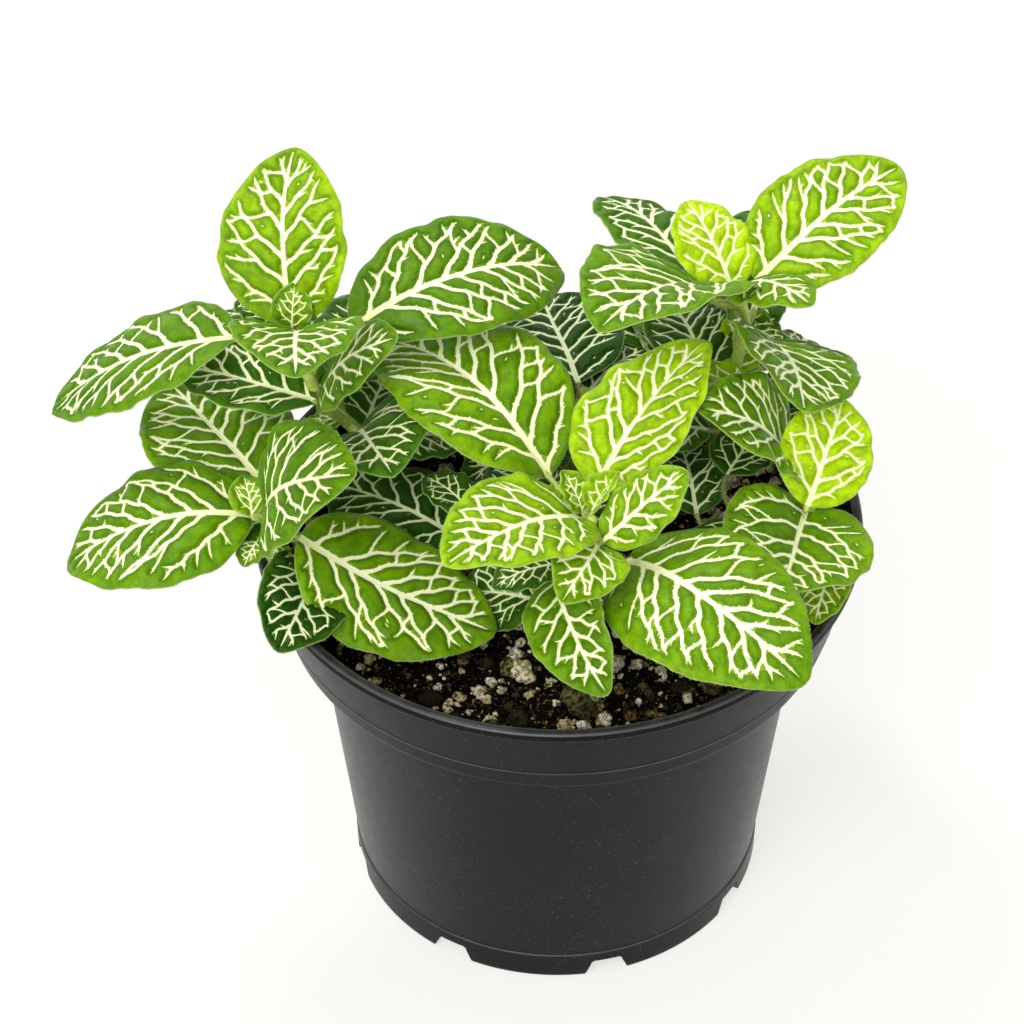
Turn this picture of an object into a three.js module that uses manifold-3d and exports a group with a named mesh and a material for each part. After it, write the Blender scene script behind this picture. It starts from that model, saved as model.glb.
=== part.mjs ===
// A potted nerve plant (Fittonia) in a round nursery pot, in millimetres, +Z up.
// The origin is on the pot's axis, on the flat pad under the pot that stands on the table.
// +X is to the right of the front view and -Y points at the viewer.

import * as THREE from "three";
import { mergeVertices } from "three/addons/utils/BufferGeometryUtils.js";
import Module from "manifold-3d";

// Pot
const POT_HEIGHT = 88;
const LIP_RADIUS = 59.5;
const LIP_DEPTH = 2;
const LIP_ROUNDING = 0.9;
const WALL = 1.5;
const COLLAR_TOP_RADIUS = 58.8;
const COLLAR_BOTTOM_RADIUS = 54.2;
const COLLAR_BOTTOM = 69;
const COLLAR_LINE_HEIGHT = 73.6;
const COLLAR_LINE_PROUD = 0.35;
const BODY_TOP_RADIUS = 48.4;
const BODY_BOTTOM_RADIUS = 41;
const FOOT_HEIGHT = 6.4;
const FOOT_RADIUS = 41.5;
const FLOOR_UNDERSIDE = 3.5;
const FLOOR_TOP = 5.2;
const PAD_RADIUS = 11;
const PAD_TAPER = 1;
const FOOT_TAPER = 0.2;
const COLLAR_ROUNDING = 0.5;
const COLLAR_LINE_HALF_WIDTH = 0.5;
const POT_SEGMENTS = 40;

// Drainage openings round the foot
const NOTCH_COUNT = 8;
const NOTCH_FIRST_ANGLE = -76;
const NOTCH_HEIGHT = 4.2;
const NOTCH_BOTTOM_WIDTH = 10;
const NOTCH_TOP_WIDTH = 6.5;
const NOTCH_ROUNDING = 1;
const NOTCH_REACH = 12;
const DRAIN_RADIUS = 3;
const DRAIN_FROM_FOOT = 11;
const DRAIN_SIDES = 12;

// Potting mix
const MIX_GAP = 0.4;
const MIX_STEP_GAP = 0.6;
const MIX_TOP = 77;
const MIX_BODY_TOP = 73;
const CRUST_FLOOR = 72;
const CRUST_INSET = 0.9;
const MIX_RINGS = 5;
const MIX_SEGMENTS = 24;
const MIX_BUMP = 0.9;
const MIX_SHORT_WAVE = 0.3;
const MIX_LONG_WAVE = 0.2;
const LUMP_SEED = 4711;
const LUMP_COUNT = 12;
const LUMP_SMALLEST = 1.2;
const LUMP_LARGEST = 2.6;
const LUMP_STRETCH = [1.2, 0.9, 0.75];
const LUMP_RAISE = 0.2;
const LUMP_WALL_GAP = 1.5;
const HOLE_FLOOR = 71;
const HOLE_CLEARANCE = 0.45;
const HOLE_SIDES = 10;

// Stems and leaves
const STEM_RADIUS = 1.5;
const STEM_TIP_RADIUS = 1.0;
const STEM_SIDES = 5;
const STEM_STEPS = 16;
const STALK_RADIUS = 0.9;
const STALK_TIP_RADIUS = 0.6;
const STALK_SIDES = 3;
const STALK_DROP = 4;
const STALK_LEAD = 0.45;
const STALK_OVERLAP = 0.14;
const BLADE_THICKNESS = 0.7;
const BLADE_BLUNTNESS = 1.1;
const BASE_FULLNESS = 0.14;
const FOLD_FADE = 0.45;
const EDGE_WAVE = 0.5;
const EDGE_WAVE_COUNT = 3.5;
const LEFT_WAVE_START = 0.6;
const RIGHT_WAVE_START = 2.4;
const SMALL_LEAF = 15;
const LARGE_LEAF = 25;
const SMALL_LEAF_ROWS = 3;
const MIDDLE_LEAF_ROWS = 4;
const LARGE_LEAF_ROWS = 5;

// Lengths below which two points are one, and below which an edge is a sliver
const SAME_POINT = 1e-4;
const SLIVER = 0.04;

const LEAF_GREEN = 0x5f9c1f;
const POT_BLACK = 0x26262a;
const MIX_BROWN = 0x2a1e14;

const leafMaterial = new THREE.MeshStandardMaterial({ color: LEAF_GREEN, roughness: 0.45 });
const potMaterial = new THREE.MeshStandardMaterial({ color: POT_BLACK, roughness: 0.5 });
const mixMaterial = new THREE.MeshStandardMaterial({ color: MIX_BROWN, roughness: 0.95 });

// Each stem: its route from below the surface of the mix to its tip, then its leaves.
// A leaf row is the point where its blade starts, the compass angle and the rise of its midrib,
// its roll, its length and width, the arch of the midrib as a share of the length, the angle by
// which its halves fold up, the share by which its edges droop, and its twist, in mm and degrees.
const STEMS = {
  stem_back_left: {
    route: [[-36, 24, 72], [-37, 22, 84], [-40, 14, 99], [-46, 8, 112], [-50, 9, 123], [-51, 8, 131]],
    leaves: [
      [-51, 8, 131, 89, 47, -20, 34, 26, 0.15, 20, 0.24, -11],
      [-62, 10, 126, 169, -33, -1, 45, 28, 0.09, 15, 0.28, 0],
      [-50, 6, 130, 272, 28, 0, 35, 25, 0.11, 20, 0.12, 0],
      [-47, 5, 114, 156, -3, -6, 30, 19, 0.04, 20, 0.03, 8],
      [-46, 6, 114, 337, 52, 18, 27, 18, 0.12, 6, 0.22, 10],
      [-51, 6, 132, 80, 62, 0, 9, 8, 0.1, 25, 0.1, 0],
      [-53, 11, 128, 140, 0, 0, 12, 9, 0.1, 15, 0.1, 0],
      [-42, 11, 104, 185, -12, 0, 8, 6, 0.1, 15, 0.1, 0],
      [-42, 16, 109, 66, -6, 0, 34, 24, 0.12, 12, 0.2, 0],
      [-49, 15, 109, 122, -5, 0, 31, 22, 0.12, 12, 0.2, 0],
      [-39, 7, 104, 286, 25, 16, 30, 25, 0.12, 20, 0.1, -28],
      [-40, 15, 124, 28, -4, 11, 46, 29, 0.17, 10, 0.17, 20],
      [-34, 19, 91, 0, 0, 0, 17, 13, 0.1, 12, 0.2, 0],
      [-38, 18, 96, 75, -4, 0, 18, 18, 0.08, 12, 0.2, 0],
    ],
  },
  stem_left: {
    route: [[-37, -8, 72], [-40, -10, 82], [-47, -12, 91], [-55, -11, 97], [-59, -12, 101]],
    leaves: [
      [-58, -3, 101, 121, -5, -5, 37, 29, 0.03, 12, 0.17, 6],
      [-59, -11, 99, 184, -17, -9, 38, 29, 0.17, 15, 0.35, 12],
      [-56, -13, 102, 320, 45, 40, 33, 27, 0.15, 20, 0.25, -26],
      [-59, -13, 101, 105, 38, 0, 8, 8, 0.1, 20, 0.1, 0],
      [-58, -15, 96, 250, -5, 0, 7, 6, 0.1, 15, 0.1, 0],
      [-55, -15, 95, 290, -10, 0, 6, 5, 0.1, 15, 0.1, 0],
      [-50, -6, 94, 172, -4, 0, 32, 22, 0.08, 12, 0.2, 0],
      [-50, -17, 99, 344, -21, 10, 42, 29, -0.05, 4, 0.17, -6],
      [-46, -14, 90, 254, 1, -19, 27, 18, 0.07, 22, 0.16, 11],
    ],
  },
  stem_centre: {
    route: [[-2, -18, 72], [-3, -20, 84], [-4, -22, 93], [2, -26, 103], [5, -28, 110], [6, -29, 115]],
    leaves: [
      [-2, -10, 108, 133, 6, 1, 47, 33, 0.17, 26, 0.28, 3],
      [7, -19, 113, 48, 29, -13, 36, 26, 0.08, 18, 0.18, -24],
      [4, -28, 114, 221, 15, -4, 35, 24, 0.11, 24, 0.22, 8],
      [8, -34, 114, 18, 39, 17, 21, 13, 0.03, 9, 0.17, 0],
      [7, -34, 113, 247, 3, -22, 18, 15, 0.16, 22, 0.04, -4],
      [4, -27, 115, 140, 55, 0, 9, 7, 0.08, 22, 0.1, 0],
      [6, -27, 115, 45, 38, 0, 9, 6, 0.08, 50, 0, 0],
      [-1, -32, 103, 291, -13, 38, 28, 16, 0.12, 25, 0.05, 4],
      [12, -29, 104, 312, 4, 16, 49, 31, 0.17, 8, 0.28, 0],
      [-4, -19, 84, 165, -4, -20, 16, 17, 0.06, 12, 0.1, 0],
      [-1, -32, 106, 205, -4, 0, 13, 10, 0.1, 15, 0.2, 0],
      [-19, -4, 86, 148, 0, 0, 31, 24, 0.06, 8, 0.15, 0],
      [-17, -12, 101, 140, 10, 0, 12, 10, 0.1, 15, 0.1, 0],
      [2, -18, 88, 340, -2, 0, 18, 14, 0.1, 12, 0.2, 0],
      [0, -14, 90, 60, 3, 0, 26, 18, 0.1, 12, 0.2, 0],
      [-4, -16, 96, 100, 2, 0, 26, 18, 0.1, 12, 0.2, 0],
    ],
  },
  stem_back_right: {
    route: [[29, 24, 72], [31, 23, 88], [34, 21, 106], [36, 22, 118], [35, 20, 127], [34, 19, 132]],
    leaves: [
      [31, 18, 129, 230, 24, 9, 41, 32, 0.14, 21, 0.09, -4],
      [27, 21, 128, 120, -4, 16, 37, 20, 0.11, 9, 0.18, 5],
      [33, 19, 130, 120, 31, 7, 20, 17, 0.11, 13, 0.21, 3],
      [38, 22, 130, 39, 15, 12, 38, 25, 0.1, 9, 0.14, -7],
      [34, 15, 134, 309, 25, -3, 23, 14, 0.14, 2, 0.27, 3],
      [38, 26, 119, 78, -6, 0, 36, 24, 0.12, 12, 0.2, 0],
      [32, 26, 107, 108, -12, 0, 26, 19, 0.12, 12, 0.2, 0],
      [40, 24, 106, 45, -28, 0, 24, 18, 0.12, 12, 0.2, 0],
      [29, 17, 108, 104, -5, -3, 26, 18, 0.16, 20, 0.08, 1],
      [35, 21, 108, 71, 33, 4, 14, 11, 0.08, 13, 0.14, 0],
      [39, 21, 116, 282, 17, -29, 35, 28, 0.1, 19, 0.06, -1],
      [36, 26, 115, 342, -20, 0, 10, 8, 0.1, 15, 0.1, 0],
      [38, 14, 109, 195, 8, 20, 15, 9, 0.08, 50, 0.1, 0],
      [30, 20, 93, 186, 0, 0, 22, 16, 0.1, 12, 0.2, 0],
    ],
  },
  stem_right: {
    route: [[36, -2, 72], [38, -3, 82], [42, -5, 93], [46, -9, 101], [48, -16, 106]],
    leaves: [
      [44, -4, 105, 202, 48, -20, 30, 22, 0.15, 19, 0.01, 2],
      [47, -17, 107, 69, 28, 20, 23, 18, 0.1, 11, 0.13, -3],
      [47, -15, 104, 258, 11, -12, 30, 29, -0.05, 40, 0.4, 9],
      [52, -20, 94, 255, -10, 0, 14, 10, 0.1, 15, 0.1, 0],
      [46, 2, 100, 100, 4, 0, 16, 12, 0.1, 15, 0.15, 0],
      [48, -5, 99, 40, -2, 0, 13, 12, 0.1, 12, 0.2, 0],
      [27, 1, 88, 98, 4, 0, 20, 15, 0.08, 12, 0.15, 0],
      [33, 7, 93, 60, 4, 0, 14, 13, 0.08, 12, 0.15, 0],
      [38, -8, 93, 228, 0, 0, 20, 15, 0.1, 12, 0.2, 0],
    ],
  },
  stem_back_centre: {
    route: [[2, 20, 72], [3, 21, 84], [4, 23, 94], [5, 25, 100]],
    leaves: [
      [4, 26, 100, 102, -10, -8, 35, 25, 0.04, 15, 0.25, -10],
      [-2, 25, 95, 160, -3, 0, 24, 17, 0.1, 12, 0.2, 0],
      [8, 22, 99, 12, 4, 0, 19, 14, 0.1, 12, 0.2, 0],
      [6, 27, 97, 50, -3, 0, 18, 14, 0.1, 12, 0.2, 0],
      [2, 18, 92, 210, 0, 0, 24, 17, 0.1, 12, 0.2, 0],
    ],
  },
  stem_rear_left: {
    route: [[-28, 34, 72], [-30, 36, 84], [-31, 40, 93], [-32, 42, 98]],
    leaves: [
      [-36, 42, 96, 140, -22, 0, 30, 20, 0.16, 12, 0.25, 0],
      [-28, 44, 95, 58, -10, 0, 33, 21, 0.14, 12, 0.25, 0],
      [-30, 47, 99, 92, -14, 0, 26, 19, 0.14, 12, 0.25, 0],
      [-35, 39, 99, 200, -6, 0, 22, 16, 0.1, 12, 0.2, 0],
      [-33, 41, 98, 150, -2, 0, 8, 7, 0.1, 15, 0.1, 0],
    ],
  },
  stem_rear: {
    route: [[19, 39, 72], [20, 41, 82], [20, 44, 88], [20, 45, 92]],
    leaves: [
      [21, 48, 92, 84, -8, 0, 32, 23, 0.14, 12, 0.25, 0],
      [18, 48, 90, 116, -10, 0, 25, 18, 0.16, 12, 0.25, 0],
      [24, 46, 91, 50, -6, 0, 25, 18, 0.12, 12, 0.2, 0],
      [17, 43, 89, 190, -2, 0, 20, 15, 0.1, 12, 0.2, 0],
      [20, 45, 93, 250, 45, 0, 9, 7, 0.1, 15, 0.1, 0],
    ],
  },
  stem_rear_right: {
    route: [[34, 36, 72], [35, 36, 84], [36, 37, 92], [37, 38, 96]],
    leaves: [
      [40, 39, 94, 30, -22, 0, 20, 16, 0.16, 12, 0.25, 0],
      [38, 43, 97, 86, -4, 0, 20, 15, 0.14, 12, 0.2, 0],
      [41, 34, 94, 342, -6, 0, 14, 11, 0.14, 12, 0.2, 0],
    ],
  },
};

const wasm = await Module();
wasm.setup();

const radians = THREE.MathUtils.degToRad;

// A repeatable random number from 0 to 1.
function makeRandom(seed) {
  let state = seed;
  return () => {
    state = (state * 16807) % 2147483647;
    return state / 2147483647;
  };
}

// A closed geometry as a solid that can be cut and joined.
function toSolid(geometry) {
  const bare = new THREE.BufferGeometry();
  bare.setAttribute("position", geometry.getAttribute("position"));
  if (geometry.index) bare.setIndex(geometry.index);
  const merged = mergeVertices(bare, SAME_POINT);
  return new wasm.Manifold(
    new wasm.Mesh({
      numProp: 3,
      vertProperties: new Float32Array(merged.getAttribute("position").array),
      triVerts: new Uint32Array(merged.index.array),
    }),
  );
}

function toGeometry(solid) {
  const mesh = solid.getMesh();
  const geometry = new THREE.BufferGeometry();
  geometry.setAttribute("position", new THREE.BufferAttribute(mesh.vertProperties, 3));
  geometry.setIndex(new THREE.BufferAttribute(mesh.triVerts, 1));
  const flat = geometry.toNonIndexed();
  flat.computeVertexNormals();
  return flat;
}

function latheSolid(profile, segments) {
  const points = profile.map(([radius, height]) => new THREE.Vector2(radius, height));
  const geometry = new THREE.LatheGeometry(points, segments);
  geometry.rotateX(Math.PI / 2);
  const solid = toSolid(geometry);
  if (solid.volume() > 0) return solid;
  const reversed = new THREE.LatheGeometry(points.reverse(), segments);
  reversed.rotateX(Math.PI / 2);
  return toSolid(reversed);
}

// Pot: a thin wall with a stepped collar, a rolled lip and a foot cut by drainage notches.
function potProfile() {
  const lipBottom = POT_HEIGHT - LIP_DEPTH;
  const lineBottom = COLLAR_LINE_HEIGHT - COLLAR_LINE_HALF_WIDTH;
  const lineTop = COLLAR_LINE_HEIGHT + COLLAR_LINE_HALF_WIDTH;
  return [
    [0, 0],
    [PAD_RADIUS, 0],
    [PAD_RADIUS + PAD_TAPER, FLOOR_UNDERSIDE],
    [FOOT_RADIUS - 2 * WALL, FLOOR_UNDERSIDE],
    [FOOT_RADIUS - 2 * WALL, 0],
    [FOOT_RADIUS - FOOT_TAPER, 0],
    [FOOT_RADIUS, FOOT_HEIGHT],
    [BODY_BOTTOM_RADIUS, FOOT_HEIGHT],
    [BODY_TOP_RADIUS, COLLAR_BOTTOM - WALL / 2],
    [COLLAR_BOTTOM_RADIUS - COLLAR_ROUNDING, COLLAR_BOTTOM - COLLAR_ROUNDING],
    [COLLAR_BOTTOM_RADIUS, COLLAR_BOTTOM],
    [collarRadius(lineBottom), lineBottom],
    [collarRadius(COLLAR_LINE_HEIGHT) + COLLAR_LINE_PROUD, COLLAR_LINE_HEIGHT],
    [collarRadius(lineTop), lineTop],
    [COLLAR_TOP_RADIUS, lipBottom],
    [LIP_RADIUS, lipBottom + LIP_ROUNDING / 2],
    [LIP_RADIUS, POT_HEIGHT - LIP_ROUNDING],
    [LIP_RADIUS - LIP_ROUNDING, POT_HEIGHT],
    [COLLAR_TOP_RADIUS - WALL + LIP_ROUNDING / 2, POT_HEIGHT],
    [COLLAR_TOP_RADIUS - WALL, lipBottom],
    [COLLAR_BOTTOM_RADIUS - WALL, COLLAR_BOTTOM + WALL / 2],
    [BODY_TOP_RADIUS - WALL, COLLAR_BOTTOM - WALL / 2],
    [BODY_BOTTOM_RADIUS - WALL, FLOOR_TOP],
    [0, FLOOR_TOP],
  ];
}

function collarRadius(height) {
  const share = (height - COLLAR_BOTTOM) / (POT_HEIGHT - LIP_DEPTH - COLLAR_BOTTOM);
  return THREE.MathUtils.lerp(COLLAR_BOTTOM_RADIUS, COLLAR_TOP_RADIUS, share);
}

function notchSolid(angle) {
  const low = NOTCH_BOTTOM_WIDTH / 2;
  const high = NOTCH_TOP_WIDTH / 2;
  const outline = new THREE.Shape();
  outline.moveTo(-low, -NOTCH_ROUNDING);
  outline.lineTo(low, -NOTCH_ROUNDING);
  outline.lineTo(high, NOTCH_HEIGHT - NOTCH_ROUNDING);
  outline.lineTo(high - NOTCH_ROUNDING, NOTCH_HEIGHT);
  outline.lineTo(-high + NOTCH_ROUNDING, NOTCH_HEIGHT);
  outline.lineTo(-high, NOTCH_HEIGHT - NOTCH_ROUNDING);
  const geometry = new THREE.ExtrudeGeometry(outline, { depth: NOTCH_REACH, bevelEnabled: false });
  geometry.rotateX(Math.PI / 2);
  geometry.translate(0, -FOOT_RADIUS + NOTCH_REACH / 2, 0);
  geometry.rotateZ(radians(angle + 90));
  return toSolid(geometry);
}

function drainHole(angle) {
  const radius = FOOT_RADIUS - DRAIN_FROM_FOOT;
  const geometry = new THREE.CylinderGeometry(DRAIN_RADIUS, DRAIN_RADIUS, 2 * FLOOR_TOP, DRAIN_SIDES);
  geometry.rotateX(Math.PI / 2);
  geometry.translate(radius * Math.cos(radians(angle)), radius * Math.sin(radians(angle)), FLOOR_TOP);
  return toSolid(geometry);
}

function makePot() {
  let pot = latheSolid(potProfile(), POT_SEGMENTS);
  for (let i = 0; i < NOTCH_COUNT; i++) {
    const angle = NOTCH_FIRST_ANGLE + (i * 360) / NOTCH_COUNT;
    pot = pot.subtract(notchSolid(angle)).subtract(drainHole(angle));
  }
  return pot;
}

// Potting mix: it fills the pot with a small gap to the wall, and its top is lumpy.
function mixHeight(x, y) {
  const short = Math.sin(x * MIX_SHORT_WAVE + 1) * Math.cos(y * MIX_SHORT_WAVE);
  const long = Math.sin((x - y) * MIX_LONG_WAVE);
  return MIX_TOP + MIX_BUMP * (short + long / 2);
}

function mixBody() {
  const inset = WALL + MIX_GAP;
  return latheSolid(
    [
      [0, FLOOR_TOP + MIX_GAP],
      [BODY_BOTTOM_RADIUS - inset, FLOOR_TOP + MIX_GAP],
      [BODY_TOP_RADIUS - inset, COLLAR_BOTTOM - WALL / 2 + MIX_STEP_GAP],
      [COLLAR_BOTTOM_RADIUS - inset, COLLAR_BOTTOM + WALL / 2 + MIX_STEP_GAP],
      [collarRadius(MIX_BODY_TOP) - inset, MIX_BODY_TOP],
      [0, MIX_BODY_TOP],
    ],
    MIX_SEGMENTS,
  );
}

// The lumpy top as a closed slab: a dented disc over a flat one.
function mixCrust() {
  const outer = collarRadius(MIX_BODY_TOP) - WALL - CRUST_INSET;
  const positions = [0, 0, mixHeight(0, 0), 0, 0, CRUST_FLOOR];
  const faces = [];
  const ringStart = (ring) => 2 + (ring - 1) * MIX_SEGMENTS;
  for (let ring = 1; ring <= MIX_RINGS; ring++) {
    for (let i = 0; i < MIX_SEGMENTS; i++) {
      const radius = (outer * ring) / MIX_RINGS;
      const turn = (2 * Math.PI * i) / MIX_SEGMENTS;
      const x = radius * Math.cos(turn);
      const y = radius * Math.sin(turn);
      positions.push(x, y, mixHeight(x, y));
    }
  }
  const lowRing = 2 + MIX_RINGS * MIX_SEGMENTS;
  for (let i = 0; i < MIX_SEGMENTS; i++) {
    const turn = (2 * Math.PI * i) / MIX_SEGMENTS;
    positions.push(outer * Math.cos(turn), outer * Math.sin(turn), CRUST_FLOOR);
  }
  for (let i = 0; i < MIX_SEGMENTS; i++) {
    const next = (i + 1) % MIX_SEGMENTS;
    faces.push(0, ringStart(1) + i, ringStart(1) + next);
    for (let ring = 1; ring < MIX_RINGS; ring++) {
      const a = ringStart(ring) + i;
      const b = ringStart(ring) + next;
      const c = ringStart(ring + 1) + i;
      const d = ringStart(ring + 1) + next;
      faces.push(a, c, d, a, d, b);
    }
    const rim = ringStart(MIX_RINGS) + i;
    const rimNext = ringStart(MIX_RINGS) + next;
    faces.push(rim, lowRing + i, lowRing + next, rim, lowRing + next, rimNext);
    faces.push(1, lowRing + next, lowRing + i);
  }
  return solidFrom(positions, faces);
}

function solidFrom(positions, faces) {
  return new wasm.Manifold(
    new wasm.Mesh({
      numProp: 3,
      vertProperties: new Float32Array(positions),
      triVerts: new Uint32Array(faces),
    }),
  );
}

// A straight hole round the lowest, straight stretch of a stem.
function stemHole(route) {
  const low = new THREE.Vector3(...route[0]);
  const high = new THREE.Vector3(...route[1]);
  const way = high.clone().sub(low).normalize();
  const start = low.clone().addScaledVector(way, (HOLE_FLOOR - low.z) / way.z);
  return tubeSolid([start, high], () => STEM_RADIUS + HOLE_CLEARANCE, HOLE_SIDES);
}

function makeMix() {
  const random = makeRandom(LUMP_SEED);
  let mix = mixBody().add(mixCrust());
  const reach = collarRadius(MIX_BODY_TOP) - WALL - LUMP_LARGEST - LUMP_WALL_GAP;
  for (let i = 0; i < LUMP_COUNT; i++) {
    const radius = reach * Math.sqrt(random());
    const turn = 2 * Math.PI * random();
    const size = THREE.MathUtils.lerp(LUMP_SMALLEST, LUMP_LARGEST, random());
    const x = radius * Math.cos(turn);
    const y = radius * Math.sin(turn);
    const lump = new THREE.IcosahedronGeometry(size, 0);
    lump.scale(...LUMP_STRETCH);
    lump.rotateZ(turn * 3);
    lump.translate(x, y, mixHeight(x, y) + size * LUMP_RAISE);
    mix = mix.add(toSolid(lump));
  }
  for (const stem of Object.values(STEMS)) mix = mix.subtract(stemHole(stem.route));
  return largestPiece(mix);
}

// A tube of many sides along points, closed at both ends.
function tubeSolid(points, radiusAt, sides) {
  const positions = [];
  const faces = [];
  const last = points.length - 1;
  const across = new THREE.Vector3(1, 0, 0);
  points.forEach((point, i) => {
    const before = points[Math.max(0, i - 1)];
    const after = points[Math.min(last, i + 1)];
    const way = after.clone().sub(before).normalize();
    across.addScaledVector(way, -across.dot(way));
    if (across.lengthSq() < SAME_POINT) across.set(0, 1, 0).addScaledVector(way, -way.y);
    across.normalize();
    const up = way.clone().cross(across);
    for (let k = 0; k < sides; k++) {
      const turn = (2 * Math.PI * k) / sides;
      const spoke = across.clone().multiplyScalar(Math.cos(turn)).addScaledVector(up, Math.sin(turn));
      positions.push(...point.clone().addScaledVector(spoke, radiusAt(i / last)).toArray());
    }
  });
  for (let i = 0; i < last; i++) {
    for (let k = 0; k < sides; k++) {
      const a = i * sides + k;
      const b = i * sides + ((k + 1) % sides);
      faces.push(a, b, b + sides, a, b + sides, a + sides);
    }
  }
  for (let k = 1; k < sides - 1; k++) {
    faces.push(0, k + 1, k);
    faces.push(last * sides, last * sides + k, last * sides + k + 1);
  }
  return solidFrom(positions, faces);
}

// A leaf: its frame of directions and the formula of its surface.
function readLeaf([x, y, z, azimuth, rise, roll, length, width, arch, fold, droop, twist]) {
  const a = radians(azimuth);
  const e = radians(rise);
  const r = radians(roll);
  const along = new THREE.Vector3(Math.cos(e) * Math.cos(a), Math.cos(e) * Math.sin(a), Math.sin(e));
  const level = new THREE.Vector3(-Math.sin(a), Math.cos(a), 0);
  const upright = along.clone().cross(level);
  const side = level.clone().multiplyScalar(Math.cos(r)).addScaledVector(upright, Math.sin(r));
  const normal = upright.clone().multiplyScalar(Math.cos(r)).addScaledVector(level, -Math.sin(r));
  const base = new THREE.Vector3(x, y, z);
  return { base, along, side, normal, length, width, arch, fold, droop, twist };
}

// u runs along the midrib from 0 to 1 and v across the blade from -1 to 1.
function leafPoint(leaf, u, v) {
  const bend = Math.acos(1 - 2 * u);
  const fullness = 1 + BASE_FULLNESS * Math.cos(bend);
  const reach = Math.sin(bend) ** BLADE_BLUNTNESS * fullness * (leaf.width / 2);
  const across = v * reach;
  const out = Math.abs(across);
  const folded = out * Math.tan(radians(leaf.fold)) * (1 - FOLD_FADE * u);
  const drooped = (leaf.droop * out * out) / (leaf.width / 2);
  const start = v > 0 ? LEFT_WAVE_START : RIGHT_WAVE_START;
  const wave = Math.sin(2 * Math.PI * EDGE_WAVE_COUNT * u + start);
  const waved = EDGE_WAVE * Math.abs(v) ** 3 * wave * Math.sin(bend);
  const arched = leaf.arch * leaf.length * 4 * u * (1 - u);
  const turned = radians(leaf.twist) * (u - 0.5);
  const height = arched + folded - drooped + waved + across * Math.sin(turned);
  return leaf.base
    .clone()
    .addScaledVector(leaf.along, u * leaf.length)
    .addScaledVector(leaf.side, across * Math.cos(turned))
    .addScaledVector(leaf.normal, height);
}

function bladeSolid(leaf) {
  const large = leaf.length >= LARGE_LEAF;
  const small = leaf.length < SMALL_LEAF;
  const rows = small ? SMALL_LEAF_ROWS : large ? LARGE_LEAF_ROWS : MIDDLE_LEAF_ROWS;
  const spans = large ? [-1, -0.5, 0, 0.5, 1] : [-1, 0, 1];
  const columns = spans.length;
  const stations = [];
  for (let i = 1; i <= rows; i++) stations.push((1 - Math.cos((Math.PI * i) / (rows + 1))) / 2);
  const middle = [leafPoint(leaf, 0, 0)];
  for (const u of stations) for (const v of spans) middle.push(leafPoint(leaf, u, v));
  middle.push(leafPoint(leaf, 1, 0));
  const tip = middle.length - 1;
  const at = (row, column) => 1 + row * columns + column;

  const sheet = [];
  for (let c = 0; c < columns - 1; c++) {
    sheet.push([0, at(0, c), at(0, c + 1)]);
    for (let r = 0; r < rows - 1; r++) {
      const corners = [at(r, c), at(r + 1, c), at(r + 1, c + 1), at(r, c + 1)];
      if (c < columns / 2 - 1) {
        sheet.push([corners[0], corners[1], corners[2]], [corners[0], corners[2], corners[3]]);
      } else {
        sheet.push([corners[0], corners[1], corners[3]], [corners[1], corners[2], corners[3]]);
      }
    }
    sheet.push([at(rows - 1, c), tip, at(rows - 1, c + 1)]);
  }

  const normals = middle.map(() => new THREE.Vector3());
  for (const [a, b, c] of sheet) {
    const edge = middle[b].clone().sub(middle[a]);
    const face = edge.cross(middle[c].clone().sub(middle[a]));
    for (const corner of [a, b, c]) normals[corner].add(face);
  }
  const positions = [];
  for (const sign of [-1, 1]) {
    middle.forEach((point, i) => {
      const shift = normals[i].clone().normalize().multiplyScalar((sign * BLADE_THICKNESS) / 2);
      positions.push(...point.clone().add(shift).toArray());
    });
  }
  const upper = middle.length;
  const faces = [];
  for (const [a, b, c] of sheet) {
    faces.push(a + upper, b + upper, c + upper);
    faces.push(a, c, b);
  }
  const border = [0];
  for (let r = 0; r < rows; r++) border.push(at(r, 0));
  border.push(tip);
  for (let r = rows - 1; r >= 0; r--) border.push(at(r, columns - 1));
  border.forEach((a, i) => {
    const b = border[(i + 1) % border.length];
    faces.push(a, b, b + upper, a, b + upper, a + upper);
  });
  const solid = solidFrom(positions, faces);
  return solid.volume() > 0 ? solid : solidFrom(positions, flipped(faces));
}

function flipped(faces) {
  const turned = [];
  for (let i = 0; i < faces.length; i += 3) turned.push(faces[i], faces[i + 2], faces[i + 1]);
  return turned;
}

// The point of a stem, a little below a leaf, where its stalk starts.
function stalkRoot(route, base) {
  const wanted = base.clone().setZ(base.z - STALK_DROP);
  let nearest = route[0];
  for (const point of route) {
    if (point.distanceTo(wanted) < nearest.distanceTo(wanted)) nearest = point;
  }
  return nearest;
}

// The stalk runs from the stem to the blade and on under the midrib, so the two hold together.
function stalkSolid(leaf, route) {
  const root = stalkRoot(route, leaf.base);
  const reach = leaf.base.distanceTo(root);
  const lead = leaf.base.clone().addScaledVector(leaf.along, -STALK_LEAD * reach);
  const curve = new THREE.QuadraticBezierCurve3(root, lead, leaf.base);
  const points = curve.getPoints(2);
  points.push(leafPoint(leaf, STALK_OVERLAP, 0).addScaledVector(leaf.normal, -BLADE_THICKNESS / 2));
  return tubeSolid(points, (t) => THREE.MathUtils.lerp(STALK_RADIUS, STALK_TIP_RADIUS, t), STALK_SIDES);
}

function densePoints(route) {
  const points = [];
  for (let i = 0; i < route.length - 1; i++) {
    for (let k = 0; k < STEM_STEPS; k++) points.push(route[i].clone().lerp(route[i + 1], k / STEM_STEPS));
  }
  points.push(route[route.length - 1]);
  return points;
}

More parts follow.
